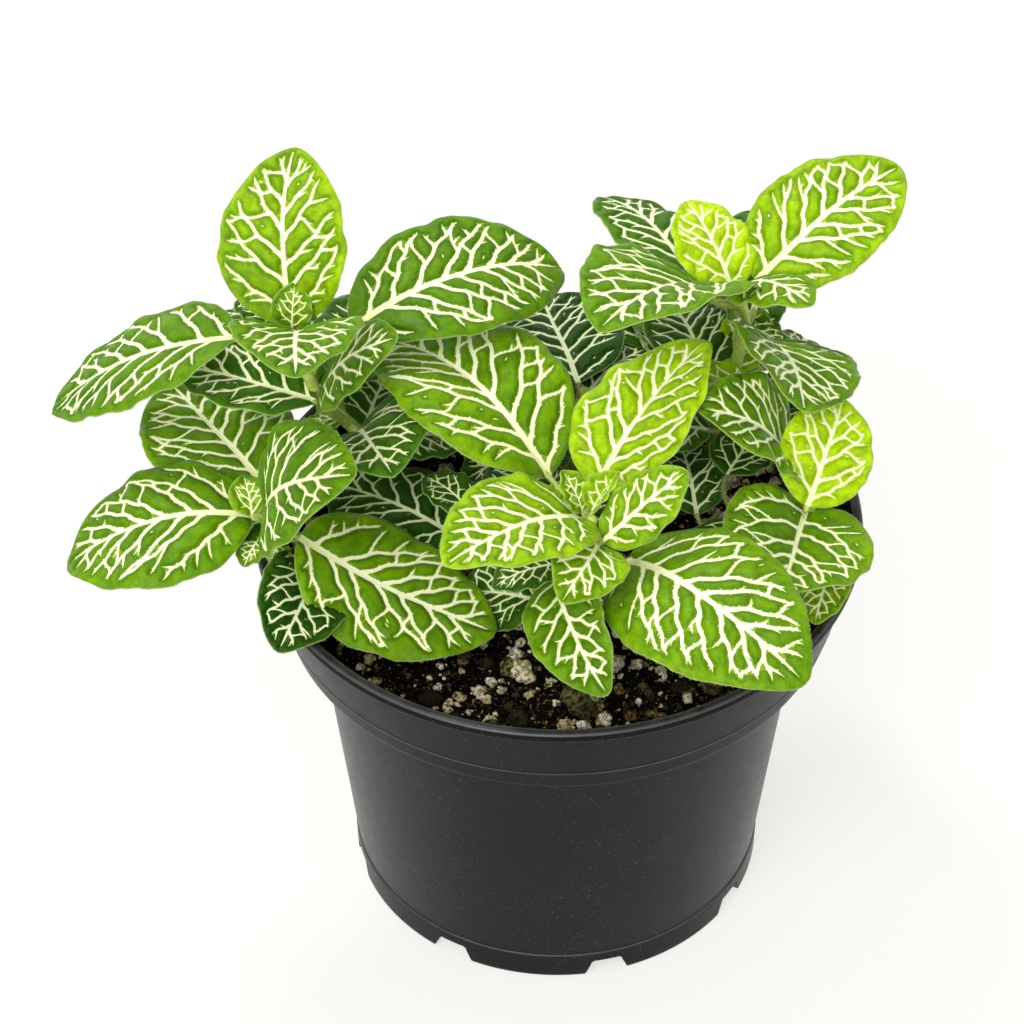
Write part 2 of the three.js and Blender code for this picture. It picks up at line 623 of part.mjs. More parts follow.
function makeLeafyStem({ route, leaves }) {
  const points = route.map((point) => new THREE.Vector3(...point));
  const radiusAt = (t) => THREE.MathUtils.lerp(STEM_RADIUS, STEM_TIP_RADIUS, t);
  let plant = tubeSolid(points, radiusAt, STEM_SIDES);
  const dense = densePoints(points);
  for (const row of leaves) {
    const leaf = readLeaf(row);
    plant = plant.add(stalkSolid(leaf, dense)).add(bladeSolid(leaf));
  }
  return largestPiece(plant);
}

// Joining curved blades leaves slivers and can leave a scrap loose: only the clean body is kept.
function largestPiece(solid) {
  const pieces = solid.asOriginal().simplify(SLIVER).decompose();
  const size = (piece) => piece.volume();
  return pieces.reduce((best, piece) => (size(piece) > size(best) ? piece : best));
}

function makeMesh(name, solid, material) {
  const mesh = new THREE.Mesh(toGeometry(solid), material);
  mesh.name = name;
  return mesh;
}

const plant = new THREE.Group();
plant.add(makeMesh("pot", makePot(), potMaterial));
plant.add(makeMesh("potting_mix", makeMix(), mixMaterial));
for (const [name, stem] of Object.entries(STEMS)) {
  plant.add(makeMesh(name, makeLeafyStem(stem), leafMaterial));
}

export default plant;
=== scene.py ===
import math

import bmesh
import bpy
import numpy as np
from mathutils import Matrix, Vector
from mathutils import noise as bpy_noise
from mathutils.geometry import delaunay_2d_cdt


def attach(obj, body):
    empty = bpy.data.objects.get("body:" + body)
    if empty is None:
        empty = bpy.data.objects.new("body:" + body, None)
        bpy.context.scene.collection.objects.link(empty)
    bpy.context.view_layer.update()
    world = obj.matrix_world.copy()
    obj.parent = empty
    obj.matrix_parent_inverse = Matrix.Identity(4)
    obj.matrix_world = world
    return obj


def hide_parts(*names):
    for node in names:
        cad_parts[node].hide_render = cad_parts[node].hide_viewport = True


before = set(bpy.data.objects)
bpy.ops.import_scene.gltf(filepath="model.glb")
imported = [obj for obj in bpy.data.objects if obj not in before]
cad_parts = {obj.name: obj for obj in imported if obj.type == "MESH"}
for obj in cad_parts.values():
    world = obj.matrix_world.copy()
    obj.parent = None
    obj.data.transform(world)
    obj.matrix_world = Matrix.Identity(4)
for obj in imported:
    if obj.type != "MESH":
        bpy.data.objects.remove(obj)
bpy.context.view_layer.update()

MM = 0.001

# Pot, in mm
POT_HEIGHT = 88
LIP_RADIUS = 59.5
LIP_DEPTH = 2
LIP_BOTTOM = POT_HEIGHT - LIP_DEPTH
WALL = 1.5
COLLAR_TOP_RADIUS = 58.8
COLLAR_BOTTOM_RADIUS = 54.2
COLLAR_BOTTOM = 69
COLLAR_LINE_HEIGHT = 73.6
COLLAR_LINE_PROUD = 0.14
BODY_TOP_RADIUS = 48.4
BODY_BOTTOM_RADIUS = 41
FOOT_HEIGHT = 6.4
FOOT_RADIUS = 41.25
FLOOR_UNDERSIDE = 3.5
FLOOR_TOP = 5.2
PAD_RADIUS = 11
NOTCH_COUNT = 8
NOTCH_FIRST_ANGLE = -76
NOTCH_HEIGHT = 4.2
NOTCH_BOTTOM_WIDTH = 10
NOTCH_TOP_WIDTH = 6.5
NOTCH_ROUNDING = 1
NOTCH_REACH = 12
DRAIN_RADIUS = 3
DRAIN_FROM_FOOT = 11
DRAIN_SIDES = 40
POT_SEGMENTS = 176
SHARP_ANGLE = 38

# Potting mix, in mm
MIX_TOP = 77
MIX_BUMP = 0.9
MIX_SHORT_WAVE = 0.3
MIX_LONG_WAVE = 0.2
MIX_RADIUS = 53.6
MIX_BOTTOM = 5.7
# The radius and height of each ring of its side, from the top down
MIX_SIDE = np.array([(52.3, 69.9), (46.5, 67.9), (39.1, MIX_BOTTOM)])
MIX_RINGS = 75
MIX_SEGMENTS = 300

# Stems and blades, in mm and as shares of a blade
STEM_RADIUS = 1.5
STEM_TIP_RADIUS = 1.0
STALK_RADIUS = 0.85
STALK_TIP_RADIUS = 0.5
STALK_DROP = 4
STALK_LEAD = 0.45
STALK_SIDES = 10
STALK_STEPS = 12
KEEL_SPAN = (0.04, 0.8)
KEEL_RADII = (STALK_TIP_RADIUS + 0.1, 0.12)
KEEL_STEPS = 22
STEM_SIDES = 14
STEM_STEPS = 16
CURVE_STEPS = 8
BLADE_BLUNTNESS = 1.1
BASE_FULLNESS = 0.14
FOLD_FADE = 0.45
EDGE_WAVE = 0.5
EDGE_WAVE_COUNT = 3.5
LEFT_WAVE_START = 0.6
RIGHT_WAVE_START = 2.4
HALF_THICKNESS = 0.17
# A blade shorter than this has a finer relief and a thinner stalk.
FULL_RELIEF_LENGTH = 30

# Each stem: its route from below the surface of the mix to its tip, then its leaves.
# A leaf row is the point where its blade starts, the compass angle and the rise of its midrib,
# its roll, its length and width, the arch of the midrib as a share of the length, the angle by
# which its halves fold up, the share by which its edges droop, and its twist, in mm and degrees,
# and last its age, from 0 for lime and young to 1 for dark and old.
STEMS = {
    "back_left": {
        "route": [(-36, 24, 72), (-37, 22, 84), (-40, 14, 99), (-46, 8, 112), (-50, 9, 123), (-51, 8, 131)],
        "leaves": [
            (-51, 8, 131, 89, 47, -20, 34, 26, 0.15, 20, 0.24, -11, 0.28),
            (-62, 10, 126, 169, -33, -1, 45, 28, 0.09, 15, 0.28, 0, 0.5),
            (-50, 6, 130, 272, 28, 0, 35, 25, 0.11, 20, 0.12, 0, 0.45),
            (-47, 5, 114, 156, -3, -6, 30, 19, 0.04, 20, 0.03, 8, 0.68),
            (-46, 6, 114, 337, 52, 18, 27, 18, 0.12, 6, 0.22, 10, 0.5),
            (-51, 6, 132, 80, 62, 0, 9, 8, 0.1, 25, 0.1, 0, 0.4),
            (-53, 11, 128, 140, 0, 0, 12, 9, 0.1, 15, 0.1, 0, 0.8),
            (-42, 11, 104, 185, -12, 0, 8, 6, 0.1, 15, 0.1, 0, 0.4),
            (-42, 16, 109, 66, -6, 0, 34, 24, 0.12, 12, 0.2, 0, 0.75),
            (-49, 15, 109, 122, -5, 0, 31, 22, 0.12, 12, 0.2, 0, 0.75),
            (-39, 7, 104, 286, 25, 16, 30, 25, 0.12, 20, 0.1, -28, 0.7),
            (-40, 15, 124, 28, -4, 11, 46, 29, 0.17, 10, 0.17, 20, 0.5),
            (-34, 19, 91, 0, 0, 0, 17, 13, 0.1, 12, 0.2, 0, 0.75),
            (-38, 18, 96, 75, -4, 0, 18, 18, 0.08, 12, 0.2, 0, 0.8),
        ],
    },
    "left": {
        "route": [(-37, -8, 72), (-40, -10, 82), (-47, -12, 91), (-55, -11, 97), (-59, -12, 101)],
        "leaves": [
            (-58, -3, 101, 121, -5, -5, 37, 29, 0.03, 12, 0.17, 6, 0.45),
            (-59, -11, 99, 184, -17, -9, 38, 29, 0.17, 15, 0.35, 12, 0.45),
            (-56, -13, 102, 320, 45, 40, 33, 27, 0.15, 20, 0.25, -26, 0.5),
            (-59, -13, 101, 105, 38, 0, 8, 8, 0.1, 20, 0.1, 0, 0.35),
            (-58, -15, 96, 250, -5, 0, 7, 6, 0.1, 15, 0.1, 0, 0.5),
            (-55, -15, 95, 290, -10, 0, 6, 5, 0.1, 15, 0.1, 0, 0.5),
            (-50, -6, 94, 172, -4, 0, 32, 22, 0.08, 12, 0.2, 0, 0.88),
            (-50, -17, 99, 344, -21, 10, 42, 29, -0.05, 4, 0.17, -6, 0.42),
            (-46, -14, 90, 254, 1, -19, 27, 18, 0.07, 22, 0.16, 11, 0.95),
        ],
    },
    "centre": {
        "route": [(-2, -18, 72), (-3, -20, 84), (-4, -22, 93), (2, -26, 103), (5, -28, 110), (6, -29, 115)],
        "leaves": [
            (-2, -10, 108, 133, 6, 1, 47, 33, 0.17, 26, 0.28, 3, 0.38),
            (7, -19, 113, 48, 29, -13, 36, 26, 0.08, 18, 0.18, -24, 0.15),
            (4, -28, 114, 221, 15, -4, 35, 24, 0.11, 24, 0.22, 8, 0.25),
            (8, -34, 114, 18, 39, 17, 21, 13, 0.03, 9, 0.17, 0, 0.3),
            (7, -34, 113, 247, 3, -22, 18, 15, 0.16, 22, 0.04, -4, 0.35),
            (4, -27, 115, 140, 55, 0, 9, 7, 0.08, 22, 0.1, 0, 0.3),
            (6, -27, 115, 45, 38, 0, 9, 6, 0.08, 50, 0, 0, 0.2),
            (-1, -32, 103, 291, -13, 38, 28, 16, 0.12, 25, 0.05, 4, 0.45),
            (12, -29, 104, 312, 4, 16, 49, 31, 0.17, 8, 0.28, 0, 0.4),
            (-4, -19, 84, 165, -4, -20, 16, 17, 0.06, 12, 0.1, 0, 0.85),
            (-1, -32, 106, 205, -4, 0, 13, 10, 0.1, 15, 0.2, 0, 0.8),
            (-19, -4, 86, 148, 0, 0, 31, 24, 0.06, 8, 0.15, 0, 0.9),
            (-17, -12, 101, 140, 10, 0, 12, 10, 0.1, 15, 0.1, 0, 0.85),
            (2, -18, 88, 340, -2, 0, 18, 14, 0.1, 12, 0.2, 0, 0.88),
            (0, -14, 90, 60, 3, 0, 26, 18, 0.1, 12, 0.2, 0, 0.88),
            (-4, -16, 96, 100, 2, 0, 26, 18, 0.1, 12, 0.2, 0, 0.88),
        ],
    },
    "back_right": {
        "route": [(29, 24, 72), (31, 23, 88), (34, 21, 106), (36, 22, 118), (35, 20, 127), (34, 19, 132)],
        "leaves": [
            (31, 18, 129, 230, 24, 9, 41, 32, 0.14, 21, 0.09, -4, 0.45),
            (27, 21, 128, 120, -4, 16, 37, 20, 0.11, 9, 0.18, 5, 0.65),
            (33, 19, 130, 120, 31, 7, 20, 17, 0.11, 13, 0.21, 3, 0),
            (38, 22, 130, 39, 15, 12, 38, 25, 0.1, 9, 0.14, -7, 0.25),
            (34, 15, 134, 309, 25, -3, 23, 14, 0.14, 2, 0.27, 3, 0.35),
            (38, 26, 119, 78, -6, 0, 36, 24, 0.12, 12, 0.2, 0, 0.75),
            (32, 26, 107, 108, -12, 0, 26, 19, 0.12, 12, 0.2, 0, 0.75),
            (40, 24, 106, 45, -28, 0, 24, 18, 0.12, 12, 0.2, 0, 0.75),
            (29, 17, 108, 104, -5, -3, 26, 18, 0.16, 20, 0.08, 1, 0.85),
            (35, 21, 108, 71, 33, 4, 14, 11, 0.08, 13, 0.14, 0, 0.15),
            (39, 21, 116, 282, 17, -29, 35, 28, 0.1, 19, 0.06, -1, 0.48),
            (36, 26, 115, 342, -20, 0, 10, 8, 0.1, 15, 0.1, 0, 0.6),
            (38, 14, 109, 195, 8, 20, 15, 9, 0.08, 50, 0.1, 0, 0.2),
            (30, 20, 93, 186, 0, 0, 22, 16, 0.1, 12, 0.2, 0, 0.75),
        ],
    },
    "right": {
        "route": [(36, -2, 72), (38, -3, 82), (42, -5, 93), (46, -9, 101), (48, -16, 106)],
        "leaves": [
            (44, -4, 105, 202, 48, -20, 30, 22, 0.15, 19, 0.01, 2, 0.45),
            (47, -17, 107, 69, 28, 20, 23, 18, 0.1, 11, 0.13, -3, 0.0),
            (47, -15, 104, 258, 11, -12, 30, 29, -0.05, 40, 0.4, 9, 0.42),
            (52, -20, 94, 255, -10, 0, 14, 10, 0.1, 15, 0.1, 0, 0.35),
            (46, 2, 100, 100, 4, 0, 16, 12, 0.1, 15, 0.15, 0, 0.88),
            (48, -5, 99, 40, -2, 0, 13, 12, 0.1, 12, 0.2, 0, 0.88),
            (27, 1, 88, 98, 4, 0, 20, 15, 0.08, 12, 0.15, 0, 0.9),
            (33, 7, 93, 60, 4, 0, 14, 13, 0.08, 12, 0.15, 0, 0.9),
            (38, -8, 93, 228, 0, 0, 20, 15, 0.1, 12, 0.2, 0, 0.88),
        ],
    },
    "back_centre": {
        "route": [(2, 20, 72), (3, 21, 84), (4, 23, 94), (5, 25, 100)],
        "leaves": [
            (4, 26, 100, 102, -10, -8, 35, 25, 0.04, 15, 0.25, -10, 1.0),
            (-2, 25, 95, 160, -3, 0, 24, 17, 0.1, 12, 0.2, 0, 0.88),
            (8, 22, 99, 12, 4, 0, 19, 14, 0.1, 12, 0.2, 0, 0.88),
            (6, 27, 97, 50, -3, 0, 18, 14, 0.1, 12, 0.2, 0, 0.88),
            (2, 18, 92, 210, 0, 0, 24, 17, 0.1, 12, 0.2, 0, 0.88),
        ],
    },
    "rear_left": {
        "route": [(-28, 34, 72), (-30, 36, 84), (-31, 40, 93), (-32, 42, 98)],
        "leaves": [
            (-36, 42, 96, 140, -22, 0, 30, 20, 0.16, 12, 0.25, 0, 0.75),
            (-28, 44, 95, 58, -10, 0, 33, 21, 0.14, 12, 0.25, 0, 0.75),
            (-30, 47, 99, 92, -14, 0, 26, 19, 0.14, 12, 0.25, 0, 0.75),
            (-35, 39, 99, 200, -6, 0, 22, 16, 0.1, 12, 0.2, 0, 0.75),
            (-33, 41, 98, 150, -2, 0, 8, 7, 0.1, 15, 0.1, 0, 0.75),
        ],
    },
    "rear": {
        "route": [(19, 39, 72), (20, 41, 82), (20, 44, 88), (20, 45, 92)],
        "leaves": [
            (21, 48, 92, 84, -8, 0, 32, 23, 0.14, 12, 0.25, 0, 0.75),
            (18, 48, 90, 116, -10, 0, 25, 18, 0.16, 12, 0.25, 0, 0.75),
            (24, 46, 91, 50, -6, 0, 25, 18, 0.12, 12, 0.2, 0, 0.75),
            (17, 43, 89, 190, -2, 0, 20, 15, 0.1, 12, 0.2, 0, 0.75),
            (20, 45, 93, 250, 45, 0, 9, 7, 0.1, 15, 0.1, 0, 0.75),
        ],
    },
    "rear_right": {
        "route": [(34, 36, 72), (35, 36, 84), (36, 37, 92), (37, 38, 96)],
        "leaves": [
            (40, 39, 94, 30, -22, 0, 20, 16, 0.16, 12, 0.25, 0, 0.75),
            (38, 43, 97, 86, -4, 0, 20, 15, 0.14, 12, 0.2, 0, 0.75),
            (41, 34, 94, 342, -6, 0, 14, 11, 0.14, 12, 0.2, 0, 0.75),
        ],
    },
}


def blend(low, high, share):
    return low + (high - low) * share


def smooth(low, high, value):
    """0 below low, 1 above high and a smooth step between."""
    share = np.clip((value - low) / (high - low), 0, 1)
    return share * share * (3 - 2 * share)


def unit(ways):
    """The same ways with the length 1."""
    return ways / np.maximum(np.linalg.norm(ways, axis=1), 1e-9)[:, None]


def distances(points):
    """How far along its line each point lies, from 0 at the first."""
    return np.concatenate([[0], np.cumsum(np.linalg.norm(np.diff(points, axis=0), axis=1))])


def bow(start, corner, end, t):
    """A point, or a column of points, at t on the bow from start to end, which a corner pulls out."""
    return (1 - t) ** 2 * start + 2 * t * (1 - t) * corner + t * t * end


# Leaves: the frame of directions and the formula of the surface, as in the solids.
class Leaf:
    """A blade: u runs from 0 at its base to 1 at its tip, and the flat blade is laid out in mm."""

    def __init__(self, row, seed):
        x, y, z, azimuth, rise, roll, length, width, arch, fold, droop, twist, age = row
        a, e, r = (math.radians(angle) for angle in (azimuth, rise, roll))
        along = np.array([math.cos(e) * math.cos(a), math.cos(e) * math.sin(a), math.sin(e)])
        level = np.array([-math.sin(a), math.cos(a), 0.0])
        upright = np.cross(along, level)
        self.base = np.array([x, y, z], float)
        self.along = along
        self.side = level * math.cos(r) + upright * math.sin(r)
        self.normal = upright * math.cos(r) - level * math.sin(r)
        self.length = length
        self.width = width
        self.scale = min(1.0, length / FULL_RELIEF_LENGTH)
        self.arch = arch
        self.fold = math.radians(fold)
        self.droop = droop
        self.twist = math.radians(twist)
        self.age = age
        self.seed = seed

    def half_width(self, u):
        bend = np.arccos(1 - 2 * np.clip(u, 0, 1))
        fullness = 1 + BASE_FULLNESS * np.cos(bend)
        return np.sin(bend) ** BLADE_BLUNTNESS * fullness * self.width / 2

    def margin(self, x, y):
        """How far a point of the flat blade lies inside its margin, in mm."""
        step = 0.01
        here = self.half_width(x / self.length)
        slope = (self.half_width(x / self.length + step) - here) / (step * self.length)
        return (here - np.abs(y)) / np.sqrt(1 + slope * slope)

    def points(self, u, v):
        """The middle surface at u, from base to tip, and v, -1 at the right margin and 1 at the left."""
        bend = np.arccos(1 - 2 * np.clip(u, 0, 1))
        across = v * self.half_width(u)
        out = np.abs(across)
        folded = out * math.tan(self.fold) * (1 - FOLD_FADE * u)
        drooped = self.droop * out * out / (self.width / 2)
        start = np.where(v > 0, LEFT_WAVE_START, RIGHT_WAVE_START)
        wave = np.sin(2 * math.pi * EDGE_WAVE_COUNT * u + start)
        waved = EDGE_WAVE * np.abs(v) ** 3 * wave * np.sin(bend)
        arched = self.arch * self.length * 4 * u * (1 - u)
        turned = self.twist * (u - 0.5)
        height = arched + folded - drooped + waved + across * np.sin(turned)
        return (
            self.base
            + np.multiply.outer(u * self.length, self.along)
            + np.multiply.outer(across * np.cos(turned), self.side)
            + np.multiply.outer(height, self.normal)
        )


# Veins: lines on the flat blade, each its points and half widths. Sizes are in mm, as on a blade of
# FULL_SIZE, angles of the side veins in degrees at the base and tip, and other turns in radians.
FULL_SIZE = 45.0
TRACE_STEP = 0.4
MARGIN_BAND = 1.7
ANY_PHASE = 6.28
MIDRIB_END = 0.965
MIDRIB_HALF_WIDTHS = (0.32, 0.84)
MIDRIB_SWAY = 0.024
SIDE_VEIN_SPACING = 11
FEWEST_SIDE_VEINS = 3.4
SIDE_VEIN_ANGLES = (62, 38)
SIDE_VEIN_HALF_WIDTHS = (0.36, 0.46)
SIDE_VEIN_SWAY = 0.22
WEB_REACH = 0.55
FREE_END = 1.5
CLEAR_WAY = 1.25
SHORTEST_TWIG = 0.9
BRIDGE_HALF_WIDTHS = (0.23, 0.29)
BRIDGE_STEPS = (5.8, 3.7)
BRIDGE_LEANS = (0.45, 1.0)
LOOSE_BRIDGES = 0.16
BROKEN_BRIDGES = 0.16
BASE_TWIG_STEP = 3.6
THORN_REACHES = (0.06, 0.34)
THORN_STEPS = (1.0, 2.6)


def headings(points):
    ways = np.gradient(points, axis=0)
    return np.arctan2(ways[:, 1], ways[:, 0])


def heading_line(angle):
    return np.array([math.cos(angle), math.sin(angle)])


def trace(leaf, start, heading, curl, band, longest=60.0):
    """A vein's points from start on. It turns by curl a mm and ends at the margin band."""
    points = [np.array(start, float)]
    while len(points) * TRACE_STEP < longest:
        heading -= curl * TRACE_STEP
        ahead = points[-1] + TRACE_STEP * heading_line(heading)
        if not 0 < ahead[0] < leaf.length or leaf.margin(ahead[0], ahead[1]) < band:
            break
        points.append(ahead)
    return np.array(points)


def arc(start, way, end, arrival):
    """A smooth line from start, which it leaves by the heading way, to end."""
    chord = np.linalg.norm(end - start)
    near = start + 0.4 * chord * heading_line(way)
    far = end - 0.4 * chord * heading_line(arrival)
    t = np.linspace(0, 1, max(4, math.ceil(chord / TRACE_STEP)))[:, None]
    return (1 - t) ** 3 * start + 3 * t * (1 - t) ** 2 * near + 3 * t * t * (1 - t) * far + t**3 * end


class Net:
    """The veins of half a blade: side veins off the midrib, bridges between them and free twigs."""

    def __init__(self, leaf, side, rng, bold, size, band):
        self.leaf = leaf
        self.side = side
        self.rng = rng
        self.bold = bold
        self.size = size
        self.band = band
        self.spread = rng.uniform(0.6, 0.9)
        self.veins = []

    def add(self, points, first, last, web, root=0.3, joined=False):
        """Keeps a vein. Its half width runs from first to last, with a web where it meets other veins."""
        away = distances(points)
        share = away / max(away[-1], 1e-6)
        widths = blend(first, last, share)
        reach = WEB_REACH * self.size
        widths = widths + web * np.exp(-np.maximum(away - root, 0) / reach)
        if joined:
            widths = widths + web * np.exp(-np.maximum(away[-1] - away - 0.25, 0) / reach)
        else:
            widths = widths * (1 - 0.92 * smooth(away[-1] - FREE_END * self.size, away[-1], away))
        self.veins.append((points, widths))

    def wavy(self, points):
        """A side vein with a slow wander, so that it isn't a plain bow."""
        away = np.arange(len(points)) * TRACE_STEP
        ways = headings(points)
        across = np.stack([-np.sin(ways), np.cos(ways)], axis=1)
        wave = self.rng.uniform(5, 8) * self.size
        phase = self.rng.uniform(0, ANY_PHASE)
        swing = SIDE_VEIN_SWAY * self.size * np.sin(2 * math.pi * away / wave + phase)
        return points + across * (swing * smooth(0, 3, away))[:, None]

    def side_veins(self):
        rng, side, leaf = self.rng, self.side, self.leaf
        count = round(FEWEST_SIDE_VEINS + leaf.length / SIDE_VEIN_SPACING)
        veins = []
        for i in range(count):
            share = (i + 0.2 + rng.uniform(-0.12, 0.12) + (0.4 if side > 0 else 0)) / count
            start = (0.015 + 0.86 * share) * leaf.length
            heading = side * math.radians(blend(*SIDE_VEIN_ANGLES, share) + rng.uniform(-6, 6))
            curl = side * rng.uniform(0.9, 1.25) / leaf.length
            points = trace(leaf, (start, 0), heading, curl, self.band)
            if len(points) > 3:
                points = self.wavy(points)
                veins.append(points)
                middle = math.sin(math.pi * min(1, (i + 1) / count) * 0.9)
                first = self.bold * blend(*SIDE_VEIN_HALF_WIDTHS, middle)
                self.add(points, first, 0.62 * first, 0.32 * self.bold, 0.5 * self.bold)
        return veins

    def free(self, parent, k, turn, curl, first, longest):
        """A branch with a free end, which stops short of the other veins."""
        way = headings(parent)[k] + turn
        line = trace(self.leaf, parent[k], way, curl, self.band, longest)
        others = np.concatenate([points for points, widths in self.veins if points is not parent])
        gaps = np.linalg.norm(line[:, None] - others, axis=2).min(axis=1)
        near = np.nonzero(gaps < CLEAR_WAY * self.size)[0]
        if len(near):
            line = line[: near[0]]
        if len(line) * TRACE_STEP > SHORTEST_TWIG * self.size:
            self.add(line, first, 0.7 * first, 0.17 * self.bold)
        return line

    def bridges(self, lower, upper):
        """Veins that leave the upper side vein outwards and meet the lower one, nearer the base."""
        rng, side, bold = self.rng, self.side, self.bold
        upper_ways, lower_ways = headings(upper), headings(lower)
        length = len(upper) * TRACE_STEP
        position = length * rng.uniform(0.3, 0.46)
        while position < length - 1.2 * self.size:
            k = int(position / TRACE_STEP)
            start = upper[k]
            gaps = np.linalg.norm(lower - start, axis=1)
            nearest = gaps.argmin()
            lean = rng.uniform(*BRIDGE_LEANS)
            target = nearest + int(gaps[nearest] * lean / TRACE_STEP)
            first = bold * rng.uniform(*BRIDGE_HALF_WIDTHS)
            turn = side * self.spread * rng.uniform(0.85, 1.2)
            if target < len(lower) + 3 and rng.random() > LOOSE_BRIDGES:
                target = min(target, len(lower) - 1)
                arrival = lower_ways[target] + side * rng.uniform(0.3, 0.7)
                line = arc(start, upper_ways[k] + turn, lower[target], arrival)
                if rng.random() < BROKEN_BRIDGES:
                    self.add(line[: max(3, int(0.62 * len(line)))], first, 0.8 * first, 0.18 * bold)
                else:
                    self.add(line, first, 0.85 * first, 0.18 * bold, joined=True)
                    self.spur(line, 0.5)
            else:
                line = self.free(upper, k, turn, side * 2.2 / self.leaf.length, first, 8 * self.size)
                self.spur(line, 0.6)
            position += blend(*BRIDGE_STEPS, position / length) * self.size * rng.uniform(0.8, 1.2)

    def spur(self, line, chance):
        """A short free twig off a bridge, which points outwards."""
        rng = self.rng
        if len(line) > 6 and rng.random() < chance:
            k = int(len(line) * rng.uniform(0.35, 0.7))
            turn = -self.side * rng.uniform(0.6, 1.1)
            self.free(line, k, turn, 0, self.bold * 0.19, rng.uniform(1.2, 2.6) * self.size)

    def grow(self):
        """All veins of the half: side veins, bridges, and twigs towards the base and the margin."""
        rng, side, bold, size = self.rng, self.side, self.bold, self.size
        main = self.side_veins()
        for lower, upper in zip(main[:-1], main[1:]):
            self.bridges(lower, upper)
        if main:
            length = len(main[0]) * TRACE_STEP
            for position in np.arange(0.25 * length, 0.85 * length, BASE_TWIG_STEP * size):
                k = int(position / TRACE_STEP)
                turn = side * rng.uniform(0.6, 0.95)
                line = self.free(main[0], k, turn, -side * 0.04, 0.22 * bold, 7 * size)
                self.spur(line, 0.5)
        for points in main:
            length = len(points) * TRACE_STEP
            position = length * rng.uniform(0.5, 0.75)
            while position < length - size:
                outer = position > length - 4.5 * size
                turn = -side * rng.uniform(0.55, 0.9)
                reach = rng.uniform(2.2, 4.0) if outer else rng.uniform(1.2, 2.8)
                k = int(position / TRACE_STEP)
                self.free(points, k, turn, -side * 0.12, 0.2 * bold, reach * size)
                position += rng.uniform(2.4, 3.6) * size if outer else rng.uniform(3.6, 6.5) * size
        return self.veins


def cusps(veins, rng, size):
    """Short thorns on both sides of each vein, broad at their roots, which scallop the green."""
    thorns = []
    for points, widths in veins:
        if len(points) < 4:
            continue
        ways = headings(points)
        away = distances(points)
        for side in (1, -1):
            position = rng.uniform(0.7, 2.0)
            while position < away[-1] - 0.3:
                i = int(np.searchsorted(away, position))
                out = heading_line(ways[i] + side * rng.uniform(0.9, 1.4))
                reach = rng.uniform(*THORN_REACHES) * size
                root = min(1.3 * widths[i], 0.3 * size)
                steps = np.array([0.0, widths[i] + 0.25 * reach, widths[i] + reach])
                line = points[i] + np.outer(steps, out)
                thorns.append((line, root * np.array([1.0, 0.4, 0.08])))
                position += rng.uniform(*THORN_STEPS)
    return thorns


def flecks(leaf, veins, rng, size):
    """A few short loose strokes of white in the middle of the green."""
    x = rng.uniform(0.12, 0.85, 60) * leaf.length
    y = rng.uniform(-0.4, 0.4, 60) * leaf.width
    depth = vein_field(veins, x, y)
    open_green = np.nonzero((depth < -0.8 * size) & (leaf.margin(x, y) > 3 * size))[0]
    strokes = []
    for i in open_green[: rng.integers(1, 6)]:
        half = rng.uniform(0.25, 0.55) * size * heading_line(rng.uniform(0.3, 1.4) * np.sign(y[i]))
        middle = np.array([x[i], y[i]])
        line = np.array([middle - half, middle, middle + half])
        strokes.append((line, rng.uniform(0.09, 0.14) * size * np.array([0.3, 1.0, 0.2])))
    return strokes


def grow_veins(leaf):
    """The veins of a blade, and its thorns and flecks. A small blade has a closer and finer net."""
    rng = np.random.default_rng(leaf.seed)
    size = float(np.clip(leaf.length / FULL_SIZE, 0.3, 1.1))
    bold = 0.93 * math.sqrt(size) * (1 - 0.3 * max(0, leaf.age - 0.6))
    bold = bold * blend(0.6, 1, smooth(8, 16, leaf.length))
    band = MARGIN_BAND * blend(0.3, 1.0, size)
    size = blend(0.35, 1.0, size)
    share = np.linspace(0, MIDRIB_END, 28)
    x = share * leaf.length
    y = MIDRIB_SWAY * leaf.length * np.sin(2 * math.pi * share + rng.uniform(0, 6)) * share * (1 - share)
    widths = bold * blend(*MIDRIB_HALF_WIDTHS, (1 - share) ** 1.2)
    widths[-3:] *= (0.8, 0.5, 0.1)
    veins = [(np.stack([x, y], axis=1), widths)]
    for side in (1, -1):
        veins += Net(leaf, side, rng, bold, size, band).grow()
    return veins, cusps(veins, rng, size) + flecks(leaf, veins, rng, size)


# How softly veins run into each other, and how far from a vein its depth is still worked out, in mm.
UNION = 0.1
FAR = 2.6


def vein_field(veins, x, y):
    """How deep each point lies inside the white veins, in mm, and below 0 how far outside."""
    total = np.full(x.shape, math.exp(-FAR / UNION))
    for points, widths in veins:
        low = points.min(axis=0) - FAR
        high = points.max(axis=0) + FAR
        near = np.nonzero((x > low[0]) & (x < high[0]) & (y > low[1]) & (y < high[1]))[0]
        if not len(near):
            continue
        place = np.stack([x[near], y[near]], axis=1)[:, None, :]
        start = points[:-1]
        way = points[1:] - start
        share = ((place - start) * way).sum(axis=2) / np.maximum((way * way).sum(axis=1), 1e-9)
        share = np.clip(share, 0, 1)
        gap = np.linalg.norm(place - start - share[..., None] * way, axis=2)
        inside = (widths[:-1] + share * (widths[1:] - widths[:-1]) - gap).max(axis=1)
        total[near] += np.exp(np.clip(inside, -FAR, FAR) / UNION)
    return UNION * np.log(total)


